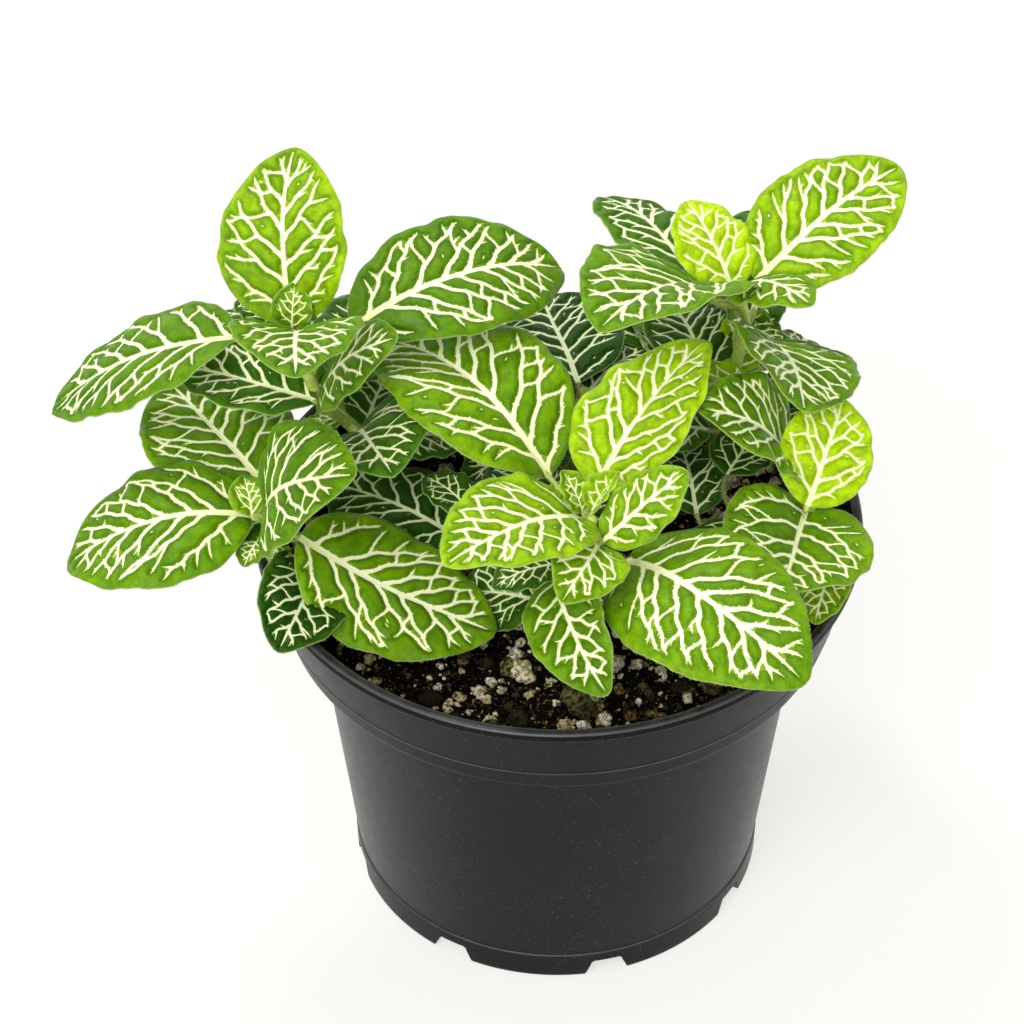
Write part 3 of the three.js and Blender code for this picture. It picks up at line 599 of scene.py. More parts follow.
# Meshes: numpy arrays of points and faces are gathered and then made into one object.
class Builder:
    def __init__(self, names):
        self.names = names
        self.count = 0
        self.points = []
        self.faces = []
        self.slots = []
        self.values = {name: [] for name in names}
        self.flats = []

    def add(self, points, faces, slot=0, flat=None, **values):
        """Points in mm, triangles as rows of three point numbers, and a value a point for each name."""
        points = np.asarray(points, float).reshape(-1, 3)
        faces = np.asarray(faces, int).reshape(-1, 3)
        self.points.append(points)
        self.faces.append(faces + self.count)
        self.slots.append(np.broadcast_to(slot, (len(faces),)))
        self.flats.append(points if flat is None else flat)
        for name in self.names:
            value = np.broadcast_to(np.asarray(values.get(name, 0.0), float), (len(points),))
            self.values[name].append(value)
        self.count += len(points)

    def finish(self, name, materials):
        points = np.concatenate(self.points) * MM
        faces = np.concatenate(self.faces)
        mesh = bpy.data.meshes.new(name)
        mesh.vertices.add(len(points))
        mesh.vertices.foreach_set("co", points.ravel())
        mesh.loops.add(faces.size)
        mesh.loops.foreach_set("vertex_index", faces.ravel())
        mesh.polygons.add(len(faces))
        mesh.polygons.foreach_set("loop_start", np.arange(0, faces.size, 3))
        mesh.polygons.foreach_set("material_index", np.concatenate(self.slots))
        mesh.update(calc_edges=True)
        mesh.validate()
        for key in self.names:
            layer = mesh.attributes.new(key, "FLOAT", "POINT")
            layer.data.foreach_set("value", np.concatenate(self.values[key]))
        layer = mesh.attributes.new("flat", "FLOAT_VECTOR", "POINT")
        layer.data.foreach_set("vector", np.concatenate(self.flats).ravel())
        mesh.polygons.foreach_set("use_smooth", np.full(len(faces), True))
        for material in materials:
            mesh.materials.append(material)
        thing = bpy.data.objects.new(name, mesh)
        bpy.context.scene.collection.objects.link(thing)
        return thing


def grid_faces(rows, columns, closed=False):
    """Triangles of a grid of points, row by row. A closed grid joins its last column to its first."""
    across = columns if closed else columns - 1
    row, column = np.meshgrid(np.arange(rows - 1), np.arange(across), indexing="ij")
    after = (column + 1) % columns
    a = row * columns + column
    b = row * columns + after
    c = (row + 1) * columns + after
    d = (row + 1) * columns + column
    first = np.stack([a, d, c], axis=-1).reshape(-1, 3)
    second = np.stack([a, c, b], axis=-1).reshape(-1, 3)
    return np.concatenate([first, second])


def ring_faces(rows, sides):
    """Triangles of a closed body of rings, whose last two points are the middles of its two ends."""
    faces = grid_faces(rows, sides, closed=True)[:, ::-1]
    k = np.arange(sides)
    after = (k + 1) % sides
    first, last = rows * sides, rows * sides + 1
    top = (rows - 1) * sides
    start = np.stack([np.full(sides, first), after, k], axis=1)
    end = np.stack([np.full(sides, last), top + k, top + after], axis=1)
    return np.concatenate([faces, start, end])


def circle(sides):
    return np.arange(sides) * 2 * math.pi / sides


def rings(radii, heights, sides):
    """Level rings of points round the z axis, row by row."""
    x = np.multiply.outer(radii, np.cos(circle(sides)))
    y = np.multiply.outer(radii, np.sin(circle(sides)))
    return np.stack([x, y, np.broadcast_to(heights, x.shape)], axis=-1).reshape(-1, 3)


def tube(points, radii, sides):
    """A tube of many sides along points, closed at both ends."""
    points = np.asarray(points, float)
    ways = unit(np.gradient(points, axis=0))
    across = np.array([1.0, 0.0, 0.0])
    loops = []
    turns = circle(sides)
    for point, way, radius in zip(points, ways, radii):
        across = across - way * across.dot(way)
        if np.linalg.norm(across) < 1e-3:
            across = np.cross(way, (0.0, 1.0, 0.0))
        across = across / np.linalg.norm(across)
        up = np.cross(way, across)
        loops.append(point + radius * (np.outer(np.cos(turns), across) + np.outer(np.sin(turns), up)))
    return np.concatenate(loops + [points[:1], points[-1:]]), ring_faces(len(points), sides)


def curve_through(points, steps):
    """A smooth line through points, with steps pieces between each two."""
    points = np.asarray(points, float)
    padded = np.concatenate([2 * points[:1] - points[1:2], points, 2 * points[-1:] - points[-2:-1]])
    line = []
    for i in range(1, len(padded) - 2):
        a, b, c, d = padded[i - 1 : i + 3]
        for t in np.arange(steps) / steps:
            way = 0.5 * (c - a)
            bend = a - 2.5 * b + 2 * c - 0.5 * d
            turn = 1.5 * (b - c) + 0.5 * (d - a)
            line.append(b + way * t + bend * t * t + turn * t**3)
    line.append(points[-1])
    return np.array(line)


# Blades: the flat blade is cut into triangles along its veins, so that they keep sharp edges.
# Sizes are in mm, and TIP_TAPER is a share of the width. A cell is the green between veins, and
# CLEAR keeps loose points off the edges of the veins.
BLADE, STEM, VEIN, HAIR = 0, 1, 2, 3
CELL_BULGE = 0.4
BULGE_FADE = 1.8
VEIN_SINK = 0.08
RIM_HALF = 0.07
RIM_WIDTH = 1.2
OUTLINE_STEP = 0.3
OUTLINE_WOBBLE = 0.3
WOBBLE_WAVES = (3.1, 4.3, 7.9)
TOOTH = 0.13
TOOTH_WAVES = (1.5, 1.9)
RIPPLE = 0.4
RIPPLE_WAVES = (6.1, 9.7)
RIPPLE_BAND = (0.3, 5.0)
GRID_PITCH = 0.72
UNDER_PITCH = 2.2
FOLD_PITCH = 0.9
TIP_TAPER = 0.13
CLEAR = 0.22
THINNEST_VEIN = 0.02
# How far the pattern of the green moves from one leaf to the next, so that no two are alike.
PATTERN_SHIFT = np.array([61.0, 17.0, 5.0])

# Hairs of the margins, stalks and stems, in mm
HAIR_RADIUS = 0.045
FUZZ_PER_MM = 9
FUZZ_LENGTHS = (0.3, 0.75)
FRINGE_PER_MM = 4.2
FRINGE_LENGTHS = (0.2, 0.42)


def wander(values, rng, waves):
    """A smooth repeatable wander of about one unit along values."""
    total = np.zeros_like(values)
    for wave in waves:
        total += np.sin(2 * math.pi * values / wave + rng.uniform(0, ANY_PHASE)) * rng.uniform(0.5, 1.0)
    return total / len(waves)


def strip(points, widths):
    """The outline round a vein, counterclockwise."""
    ways = unit(np.gradient(points, axis=0))
    across = np.stack([-ways[:, 1], ways[:, 0]], axis=1) * widths[:, None]
    return np.concatenate([points - across, (points + across)[::-1]])


def blade_outline(leaf, rng):
    """The flat outline with its waves and small teeth, counterclockwise from the base."""
    count = max(24, math.ceil(leaf.length / OUTLINE_STEP))
    u = (1 - np.cos(np.linspace(0, math.pi, count))) / 2 * 0.5 + np.linspace(0, 1, count) * 0.5
    x = u * leaf.length
    sides = []
    waviness = OUTLINE_WOBBLE * rng.uniform(0.5, 1.15) * leaf.scale
    for side in (-1, 1):
        wobble = waviness * wander(x, rng, WOBBLE_WAVES)
        teeth = TOOTH * np.abs(wander(x, rng, TOOTH_WAVES)) * leaf.scale
        half = leaf.half_width(u) * (1 - TIP_TAPER * smooth(0.78, 0.99, u) * (1 - smooth(0.985, 1.0, u)))
        sides.append(side * (half + (wobble + teeth) * np.sin(math.pi * u) ** 0.5))
    low = np.stack([x, sides[0]], axis=1)
    high = np.stack([x, sides[1]], axis=1)
    return np.concatenate([low, high[::-1][1:-1]])


def lattice(leaf, pitch, clear, rng):
    """Scattered points inside the blade, in even rows."""
    rows = np.arange(-leaf.width / 2, leaf.width / 2, 0.87 * pitch)
    x, y = np.meshgrid(np.arange(pitch, leaf.length, pitch), rows)
    x = x + (np.arange(len(x)) % 2)[:, None] * pitch / 2
    x = x.ravel() + rng.uniform(-0.1, 0.1, x.size) * pitch
    y = y.ravel() + rng.uniform(-0.1, 0.1, y.size) * pitch
    inside = x < leaf.length
    x, y = x[inside], y[inside]
    inside = leaf.margin(x, y) > clear
    return np.stack([x[inside], y[inside]], axis=1)


def triangulate(polygons, spots):
    """Triangles inside the first polygon: points, corners and whether another polygon holds them."""
    corners = np.concatenate(polygons + [spots])
    starts = np.cumsum([0] + [len(polygon) for polygon in polygons])
    faces = [list(range(a, b)) for a, b in zip(starts[:-1], starts[1:])]
    result = delaunay_2d_cdt([Vector(point) for point in corners], [], faces, 1, 1e-4, True)
    points = np.array([point[:] for point in result[0]])
    inside = [i for i, owners in enumerate(result[5]) if 0 in owners]
    triangles = np.array([result[2][i] for i in inside])
    held = np.array([len(result[5][i]) > 1 for i in inside])
    return points, triangles, held


def border(triangles):
    """The corners round the outside of the triangles, in order."""
    ways = np.concatenate([triangles[:, [0, 1]], triangles[:, [1, 2]], triangles[:, [2, 0]]])
    both = np.sort(ways, axis=1)
    kinds, where, counts = np.unique(both, axis=0, return_inverse=True, return_counts=True)
    outer = ways[counts[where.ravel()] == 1]
    following = dict(outer.tolist())
    start = int(outer[0, 0])
    ring = [start]
    while following[ring[-1]] != start:
        ring.append(following[ring[-1]])
    return np.array(ring)


def blade_surface(leaf, flat):
    """The points of the middle surface over flat points, and its upward normals."""
    u = flat[:, 0] / leaf.length
    v = flat[:, 1] / np.maximum(leaf.half_width(u), 0.02)
    v = np.clip(v, -1.15, 1.15)
    step = 0.004
    low, high = np.clip(u - step, 0, 1), np.clip(u + step, 0, 1)
    along = leaf.points(high, v) - leaf.points(low, v)
    across = leaf.points(u, v + step) - leaf.points(u, v - step)
    up = np.cross(along, across)
    size = np.linalg.norm(up, axis=1)
    weak = size < 1e-7
    up[weak] = leaf.normal
    size[weak] = 1.0
    return leaf.points(u, v), up / size[:, None]


def ripples(leaf, flat, margin, waves):
    """How far the blade waves up and down towards its margin, in mm."""
    along = np.linspace(0, leaf.length, len(waves[0]))
    left = np.interp(flat[:, 0], along, waves[0])
    right = np.interp(flat[:, 0], along, waves[1])
    size = min(1, leaf.length / 35)
    return RIPPLE * size * np.where(flat[:, 1] > 0, left, right) * (1 - smooth(*RIPPLE_BAND, margin))


def spikes(roots, ways, lengths):
    """Thin three-sided hairs: each stands on its root and runs out to a point."""
    ways = unit(ways)
    aside = unit(np.cross(ways, (0.31, 0.52, 0.79)))
    up = np.cross(ways, aside)
    turns = circle(3)[:, None]
    feet = roots[:, None] + HAIR_RADIUS * (np.cos(turns) * aside[:, None] + np.sin(turns) * up[:, None])
    tips = (roots + ways * lengths[:, None])[:, None]
    points = np.concatenate([feet, tips], axis=1).reshape(-1, 3)
    first = 4 * np.arange(len(roots))[:, None, None]
    faces = first + np.array([[0, 1, 3], [1, 2, 3], [2, 0, 3], [0, 2, 1]])
    return points, faces.reshape(-1, 3)


def blade_side(leaf, flat, ring, waves):
    """The rippled middle surface over flat points, its upward normals, margins and half thickness."""
    middle, up = blade_surface(leaf, flat)
    margin = np.maximum(leaf.margin(np.clip(flat[:, 0], 0, leaf.length), flat[:, 1]), 0)
    margin[ring] = 0
    middle = middle + up * ripples(leaf, flat, margin, waves)[:, None]
    return middle, up, margin, blend(RIM_HALF, HALF_THICKNESS, smooth(0, RIM_WIDTH, margin))


def top_mesh(leaf, veins, thorns, rng):
    """The flat top of a blade cut along its veins and thorns: points, triangles and which are white."""
    outline = blade_outline(leaf, rng)
    strips = [strip(line, np.maximum(widths, THINNEST_VEIN)) for line, widths in veins + thorns]
    spots = lattice(leaf, GRID_PITCH, 0.35, rng)
    depth = vein_field(veins + thorns, spots[:, 0], spots[:, 1])
    spots = spots[np.abs(depth) > CLEAR]
    midrib = veins[0][0]
    x = np.linspace(0.3, MIDRIB_END * leaf.length, 50)
    groove = np.stack([x, np.interp(x, midrib[:, 0], midrib[:, 1])], axis=1)
    return triangulate([outline] + strips, np.concatenate([spots, groove]))


def under_mesh(leaf, outline, rng):
    """The flat underside, coarser than the top but with its outline and a line of points on the fold."""
    spots = lattice(leaf, UNDER_PITCH, 0.8, rng)
    x = np.arange(FOLD_PITCH, leaf.length - FOLD_PITCH, FOLD_PITCH)
    fold_line = np.stack([x, np.zeros(len(x))], axis=1)
    return triangulate([outline], np.concatenate([spots, fold_line]))[:2]


def add_blade(builder, leaf):
    """A thin closed shell: a veined top, a plain underside and a strip that joins them at the rim."""
    rng = np.random.default_rng(leaf.seed + 7)
    veins, thorns = grow_veins(leaf)
    flat, triangles, white = top_mesh(leaf, veins, thorns, rng)
    ring = border(triangles)
    along = np.linspace(0, leaf.length, 80)
    waves = [wander(along, rng, RIPPLE_WAVES) for side in (0, 1)]
    middle, up, margin, thick = blade_side(leaf, flat, ring, waves)
    field = vein_field(veins + thorns, flat[:, 0], flat[:, 1])
    calm = vein_field(veins, flat[:, 0], flat[:, 1])
    bulge = CELL_BULGE * smooth(-0.1, 1.2, -calm) - VEIN_SINK * smooth(-0.3, 0.5, calm)
    bulge *= smooth(0.0, BULGE_FADE, margin) * leaf.scale
    upper = middle + up * (thick + bulge)[:, None]

    under_flat, under_faces = under_mesh(leaf, flat[ring], rng)
    under_ring = border(under_faces)
    under_middle, under_up, under_margin, under_thick = blade_side(leaf, under_flat, under_ring, waves)
    under = under_middle - under_up * under_thick[:, None]
    under_field = vein_field(veins, under_flat[:, 0], under_flat[:, 1])

    nearest = np.linalg.norm(under_flat[under_ring] - flat[ring[0]], axis=1).argmin()
    first_under = len(flat)
    under_ring = np.roll(under_ring, -nearest) + first_under
    a, b = ring, np.roll(ring, -1)
    c, d = under_ring, np.roll(under_ring, -1)
    rim = [np.stack([a, c, d], axis=1), np.stack([a, d, b], axis=1)]
    faces = np.concatenate([triangles, under_faces[:, ::-1] + first_under] + rim)
    slots = np.full(len(faces), BLADE)
    slots[: len(white)] = np.where(white, VEIN, BLADE)
    place = np.zeros((len(flat) + len(under_flat), 3))
    place[:, :2] = np.concatenate([flat, under_flat])
    builder.add(
        np.concatenate([upper, under]),
        faces,
        slot=slots,
        flat=place + leaf.seed * PATTERN_SHIFT,
        vein=np.concatenate([field, under_field]),
        edge=np.concatenate([margin, under_margin]),
        tone=leaf.age,
        under=np.repeat([0, 1], [len(flat), len(under_flat)]),
        along=place[:, 0] / leaf.length,
    )
    add_fringe(builder, leaf, middle[ring], up[ring], rng)


def add_fringe(builder, leaf, edge, up, rng):
    """Tiny pale bristles along the margin, which point outwards and to the tip."""
    picks = np.unique(rng.integers(0, len(edge), int(leaf.length * FRINGE_PER_MM)))
    along = np.roll(edge, -1, axis=0)[picks] - edge[picks]
    out = unit(np.cross(along, up[picks]))
    ways = out + 0.5 * leaf.along + 0.3 * rng.uniform(-1, 1, (len(picks), 3))
    lengths = rng.uniform(*FRINGE_LENGTHS, len(picks)) * blend(0.5, 1, leaf.scale)
    points, faces = spikes(edge[picks], ways, lengths)
    builder.add(points, faces, slot=HAIR)


def add_fuzz(builder, line, radii, rng):
    """Short pale hairs all round a stem or stalk."""
    length = np.linalg.norm(np.diff(line, axis=0), axis=1).sum()
    count = int(length * FUZZ_PER_MM)
    share = rng.uniform(0, len(line) - 1.001, count)
    k = share.astype(int)
    span = line[k + 1] - line[k]
    start = line[k] + span * (share - k)[:, None]
    way = unit(span)
    out = unit(np.cross(way, rng.normal(size=(count, 3))))
    thick = np.interp(share, np.arange(len(line)), radii)
    roots = start + out * (thick * 0.95)[:, None]
    points, faces = spikes(roots, out + 0.3 * way, rng.uniform(*FUZZ_LENGTHS, count))
    builder.add(points, faces, slot=HAIR)


def stalk_line(leaf, dense):
    """The stalk's bow from the stem, given as close points, to the base of the blade."""
    wanted = leaf.base - np.array([0, 0, STALK_DROP])
    root = dense[np.linalg.norm(dense - wanted, axis=1).argmin()]
    reach = np.linalg.norm(leaf.base - root)
    lead = leaf.base - leaf.along * STALK_LEAD * reach
    return bow(root, lead, leaf.base, np.linspace(0, 1, STALK_STEPS)[:, None])


def add_stalk(builder, leaf, dense):
    """The stalk runs from the stem to the blade and on as a keel under the midrib."""
    line = stalk_line(leaf, dense)
    size = blend(0.55, 1.0, leaf.scale)
    u = np.linspace(*KEEL_SPAN, KEEL_STEPS)
    ridge = size * blend(*KEEL_RADII, (u - u[0]) / (u[-1] - u[0]))
    middle, up = blade_surface(leaf, np.stack([u * leaf.length, np.zeros(len(u))], axis=1))
    sunk = ridge / np.cos(leaf.fold * (1 - FOLD_FADE * u)) + 0.03
    keel = middle - up * sunk[:, None]
    path = np.concatenate([line[:-1], keel])
    thick = size * blend(STALK_RADIUS, STALK_TIP_RADIUS, np.linspace(0, 1, len(line)))
    radii = np.concatenate([thick[:-1], ridge])
    points, faces = tube(path, radii, STALK_SIDES)
    builder.add(points, faces, slot=STEM, tone=leaf.age, along=0.5)
    add_fuzz(builder, line, thick, np.random.default_rng(leaf.seed + 3))


def add_stem(builder, route):
    """The stem along its route, brown near the mix and paler higher up."""
    line = curve_through(route, CURVE_STEPS)
    share = np.linspace(0, 1, len(line))
    radii = blend(STEM_RADIUS, STEM_TIP_RADIUS, share)
    points, faces = tube(line, radii, STEM_SIDES)
    height = np.clip((points[:, 2] - MIX_TOP) / 50, 0, 1)
    builder.add(points, faces, slot=STEM, tone=1 - height, along=height)
    add_fuzz(builder, line, radii, np.random.default_rng(len(route)))


# Pot: a fine turned wall with rounded corners, then the notches and drain holes cut out.
# SUPPORT is how near an extra point comes to the end of a long stretch, and LIP_SHINE_DEPTH how far
# down the shinier plastic of the lip's top goes, in mm.
SUPPORT = 0.3
LIP_SHINE_DEPTH = 0.45
ROUNDING_STEPS = 5


def collar_radius(height):
    share = (height - COLLAR_BOTTOM) / (LIP_BOTTOM - COLLAR_BOTTOM)
    return blend(COLLAR_BOTTOM_RADIUS, COLLAR_TOP_RADIUS, share)


def rounded(corners):
    """The outline through corners, each a radius, a height and the size of its rounding, in mm."""
    outline = []
    for i, (x, z, size) in enumerate(corners):
        here = np.array([x, z], float)
        if size == 0 or i in (0, len(corners) - 1):
            outline.append(here)
            continue
        before = np.array(corners[i - 1][:2], float) - here
        after = np.array(corners[i + 1][:2], float) - here
        start = here + before / np.linalg.norm(before) * min(size, 0.45 * np.linalg.norm(before))
        end = here + after / np.linalg.norm(after) * min(size, 0.45 * np.linalg.norm(after))
        outline += [bow(start, here, end, t) for t in np.linspace(0, 1, ROUNDING_STEPS)]
    return np.array(outline)


def supported(outline):
    """The same outline with extra points near the ends of its long stretches, so that they shade flat."""
    points = [outline[0]]
    for before, after in zip(outline[:-1], outline[1:]):
        length = np.linalg.norm(after - before)
        if length > 3 * SUPPORT:
            way = (after - before) / length
            points += [before + SUPPORT * way, after - SUPPORT * way]
        points.append(after)
    return np.array(points)


def turned(outline, segments):
    """A closed turned body from an outline that starts and ends on the axis."""
    inner = outline[1:-1]
    points = rings(inner[:, 0], inner[:, 1:], segments)
    ends = np.array([[0, 0, outline[0, 1]], [0, 0, outline[-1, 1]]])
    return np.concatenate([points, ends]), ring_faces(len(inner), segments)


def pot_outline():
    """The pot from the middle of its underside, up its outer side and down its inner one to the floor."""
    line = COLLAR_LINE_HEIGHT
    inner_top = COLLAR_TOP_RADIUS - WALL
    corners = [
        (0, 0, 0),
        (PAD_RADIUS, 0, 0.5),
        (PAD_RADIUS + 1, FLOOR_UNDERSIDE, 0.5),
        (FOOT_RADIUS - 3, FLOOR_UNDERSIDE, 0.5),
        (FOOT_RADIUS - 3, 0, 0.4),
        (FOOT_RADIUS - 0.2, 0, 1.0),
        (FOOT_RADIUS, FOOT_HEIGHT, 0.3),
        (BODY_BOTTOM_RADIUS, FOOT_HEIGHT + 0.15, 0.2),
        (BODY_TOP_RADIUS, COLLAR_BOTTOM - WALL / 2, 1.0),
        (COLLAR_BOTTOM_RADIUS - 0.1, COLLAR_BOTTOM - 0.6, 0.9),
        (collar_radius(line - 0.4), line - 0.4, 0.2),
        (collar_radius(line) + COLLAR_LINE_PROUD, line, 0.35),
        (collar_radius(line + 0.4), line + 0.4, 0.2),
        (COLLAR_TOP_RADIUS, LIP_BOTTOM, 0.35),
        (LIP_RADIUS, LIP_BOTTOM + 0.1, 0.5),
        (LIP_RADIUS, POT_HEIGHT, 0.9),
        (inner_top, POT_HEIGHT, 1.1),
        (inner_top - 0.1, LIP_BOTTOM, 1.5),
        (COLLAR_BOTTOM_RADIUS - WALL, COLLAR_BOTTOM + WALL / 2, 1.0),
        (BODY_TOP_RADIUS - WALL, COLLAR_BOTTOM - WALL / 2, 1.0),
        (BODY_BOTTOM_RADIUS - WALL, FLOOR_TOP, 1.0),
        (0, FLOOR_TOP, 0),
    ]
    return supported(rounded(corners))


def prism(outline, low, high):
    """A closed body from a flat outline, which runs counterclockwise, between two heights."""
    outline = np.asarray(outline, float)
    count = len(outline)
    points = np.concatenate([np.c_[outline, np.full(count, z)] for z in (low, high)])
    k = np.arange(count)
    after = (k + 1) % count
    low_side = np.c_[k, after, after + count]
    high_side = np.c_[k, after + count, k + count]
    fan = np.arange(1, count - 1)
    bottom = np.c_[0 * fan, fan + 1, fan]
    top = np.c_[0 * fan, fan, fan + 1] + count
    return points, np.concatenate([low_side, high_side, bottom, top])


def notch_cutter(angle):
    """The body that cuts a notch through the foot: wide at the bottom, with rounded upper corners."""
    low, high = NOTCH_BOTTOM_WIDTH / 2, NOTCH_TOP_WIDTH / 2
    outline = [(-low, -NOTCH_ROUNDING), (low, -NOTCH_ROUNDING), (high, NOTCH_HEIGHT - NOTCH_ROUNDING)]
    for corner, start in ((high, 0), (-high, 90)):
        centre = corner - math.copysign(NOTCH_ROUNDING, corner)
        for step in range(1, 6):
            turn = math.radians(start + step * 15)
            rise = NOTCH_HEIGHT - NOTCH_ROUNDING + NOTCH_ROUNDING * math.sin(turn)
            outline.append((centre + NOTCH_ROUNDING * math.cos(turn), rise))
    outline.append((-high, NOTCH_HEIGHT - NOTCH_ROUNDING))
    points, faces = prism(outline, -NOTCH_REACH / 2, NOTCH_REACH / 2)
    way = math.radians(angle)
    out = np.array([math.cos(way), math.sin(way), 0])
    along = np.array([math.sin(way), -math.cos(way), 0])
    placed = FOOT_RADIUS * out + np.outer(points[:, 0], along) + np.outer(points[:, 2], out)
    placed[:, 2] += points[:, 1]
    return placed, faces[:, ::-1]


def drain_cutter(angle):
    """The body that cuts a round drain hole through the floor."""
    turns = circle(DRAIN_SIDES)
    reach = FOOT_RADIUS - DRAIN_FROM_FOOT
    way = math.radians(angle)
    x = reach * math.cos(way) + DRAIN_RADIUS * np.cos(turns)
    y = reach * math.sin(way) + DRAIN_RADIUS * np.sin(turns)
    return prism(np.stack([x, y], axis=1), -1, 2 * FLOOR_TOP)


def make_pot(materials):
    """The wall, foot and floor take the first material, the collar the next and the lip the last."""
    points, faces = turned(pot_outline(), POT_SEGMENTS)
    height = points[faces][:, :, 2].mean(axis=1)
    slot = (height > COLLAR_BOTTOM - 1).astype(int) + (height > POT_HEIGHT - LIP_SHINE_DEPTH)
    body = Builder([])
    body.add(points, faces, slot=slot)
    pot = body.finish("nursery_pot", materials)
    cutters = Builder([])
    for i in range(NOTCH_COUNT):
        angle = NOTCH_FIRST_ANGLE + i * 360 / NOTCH_COUNT
        cutters.add(*notch_cutter(angle))
        cutters.add(*drain_cutter(angle))
    tool = cutters.finish("pot_cutters", materials)
    cut = pot.modifiers.new("cut", "BOOLEAN")
    cut.object = tool
    cut.operation = "DIFFERENCE"
    cut.solver = "MANIFOLD"
    view = bpy.context.evaluated_depsgraph_get()
    shaped = bpy.data.meshes.new_from_object(pot.evaluated_get(view))
    pot.modifiers.clear()
    pot.data = shaped
    bpy.data.objects.remove(tool)
    shaped.set_sharp_from_angle(angle=math.radians(SHARP_ANGLE))
    return pot


# Potting mix: a crumbly crust over a plain body that fills the pot, strewn with grains and chips.
CRUST_DROP = 0.4
LUMP_SCALE = 0.55
LUMP_HEIGHT = 1.0
FINE_HEIGHT = 0.55
CRUST_RIM = 0.96


def mix_height(x, y):
    short = np.sin(x * MIX_SHORT_WAVE + 1) * np.cos(y * MIX_SHORT_WAVE)
    return MIX_TOP + MIX_BUMP * (short + 0.5 * np.sin((x - y) * MIX_LONG_WAVE))


def crumble(x, y):
    """Fine lumps of the crust at a point, in mm."""
    spot = Vector((x * LUMP_SCALE, y * LUMP_SCALE, 3.0))
    lumps = 0.75 - bpy_noise.voronoi(spot)[0][0]
    fine = bpy_noise.fractal(spot * 2.6, 0.6, 2.2, 4)
    return LUMP_HEIGHT * lumps + FINE_HEIGHT * fine


def make_mix(materials):
    """One closed body of crust, side and underside, with the grains strewn on it."""
    builder = Builder(["tone"])
    radii = np.linspace(0, MIX_RADIUS, MIX_RINGS + 1)[1:]
    crust = rings(radii, 0.0, MIX_SEGMENTS)
    calm_rim = np.repeat(1 - smooth(CRUST_RIM, 1.0, radii / MIX_RADIUS), MIX_SEGMENTS)
    rough = np.array([crumble(x, y) for x, y, z in crust])
    crust[:, 2] = mix_height(crust[:, 0], crust[:, 1]) - CRUST_DROP + rough * calm_rim
    side = rings(MIX_SIDE[:, 0], MIX_SIDE[:, 1:], MIX_SEGMENTS)
    ends = np.array([[0, 0, mix_height(0, 0) - CRUST_DROP], [0, 0, MIX_BOTTOM]])
    faces = ring_faces(len(radii) + len(MIX_SIDE), MIX_SEGMENTS)[:, ::-1]
    builder.add(np.concatenate([crust, side, ends]), faces)
    strew(builder)
    return builder.finish("potting_mix_fine", materials)


def blob(detail):
    """Points and faces of a ball of triangles with radius 1."""
    mesh = bmesh.new()
    bmesh.ops.create_icosphere(mesh, subdivisions=detail, radius=1)
    points = np.array([v.co[:] for v in mesh.verts])
    faces = np.array([[v.index for v in f.verts] for f in mesh.faces])
    mesh.free()
    return points, faces


# A perlite grain above this radius in mm gets the finer ball.
FINE_GRAIN = 1.5
GRAIN_SEED = 20
MOST_TILT = 0.5

# Each kind of grain: how many, smallest and largest radius in mm, flatness, roughness and slot.
GRAINS = {
    "perlite": (500, 0.45, 2.0, 0.8, 0.65, 1),
    "crumb": (280, 0.6, 2.6, 0.75, 0.7, 2),
    "chip": (680, 0.3, 1.6, 0.5, 0.75, 3),
}


def strew(builder):
    """Grains of each kind at random places on the crust, partly sunk into it."""
    rng = np.random.default_rng(GRAIN_SEED)
    fine_ball = blob(3)
    plain_ball = blob(2)
    for kind, (count, low, high, flat, rough, slot) in GRAINS.items():
        for i in range(count):
            radius = blend(low, high, rng.random() ** 2.2)
            shape, skin = fine_ball if kind == "perlite" and radius > FINE_GRAIN else plain_ball
            reach = (MIX_RADIUS - 0.5 - radius) * math.sqrt(rng.random())
            way = rng.uniform(0, 2 * math.pi)
            x, y = reach * math.cos(way), reach * math.sin(way)
            origin = Vector((x, y, 10.0 + i))
            bumps = np.array([bpy_noise.fractal(Vector(p) * 1.1 + origin, 0.7, 2.1, 3) for p in shape])
            points = shape * (1 + rough * bumps)[:, None] * radius
            points = points * (1, rng.uniform(0.65, 1.0), flat)
            tilt, turn = rng.uniform(-MOST_TILT, MOST_TILT), rng.uniform(0, 2 * math.pi)
            spin = Matrix.Rotation(-tilt, 3, "X") @ Matrix.Rotation(-turn, 3, "Z")
            points = points @ np.array(spin)
            z = mix_height(x, y) + 0.1 + radius * flat * rng.uniform(-0.1, 0.5)
            builder.add(points + (x, y, z), skin, slot=slot, tone=rng.random())


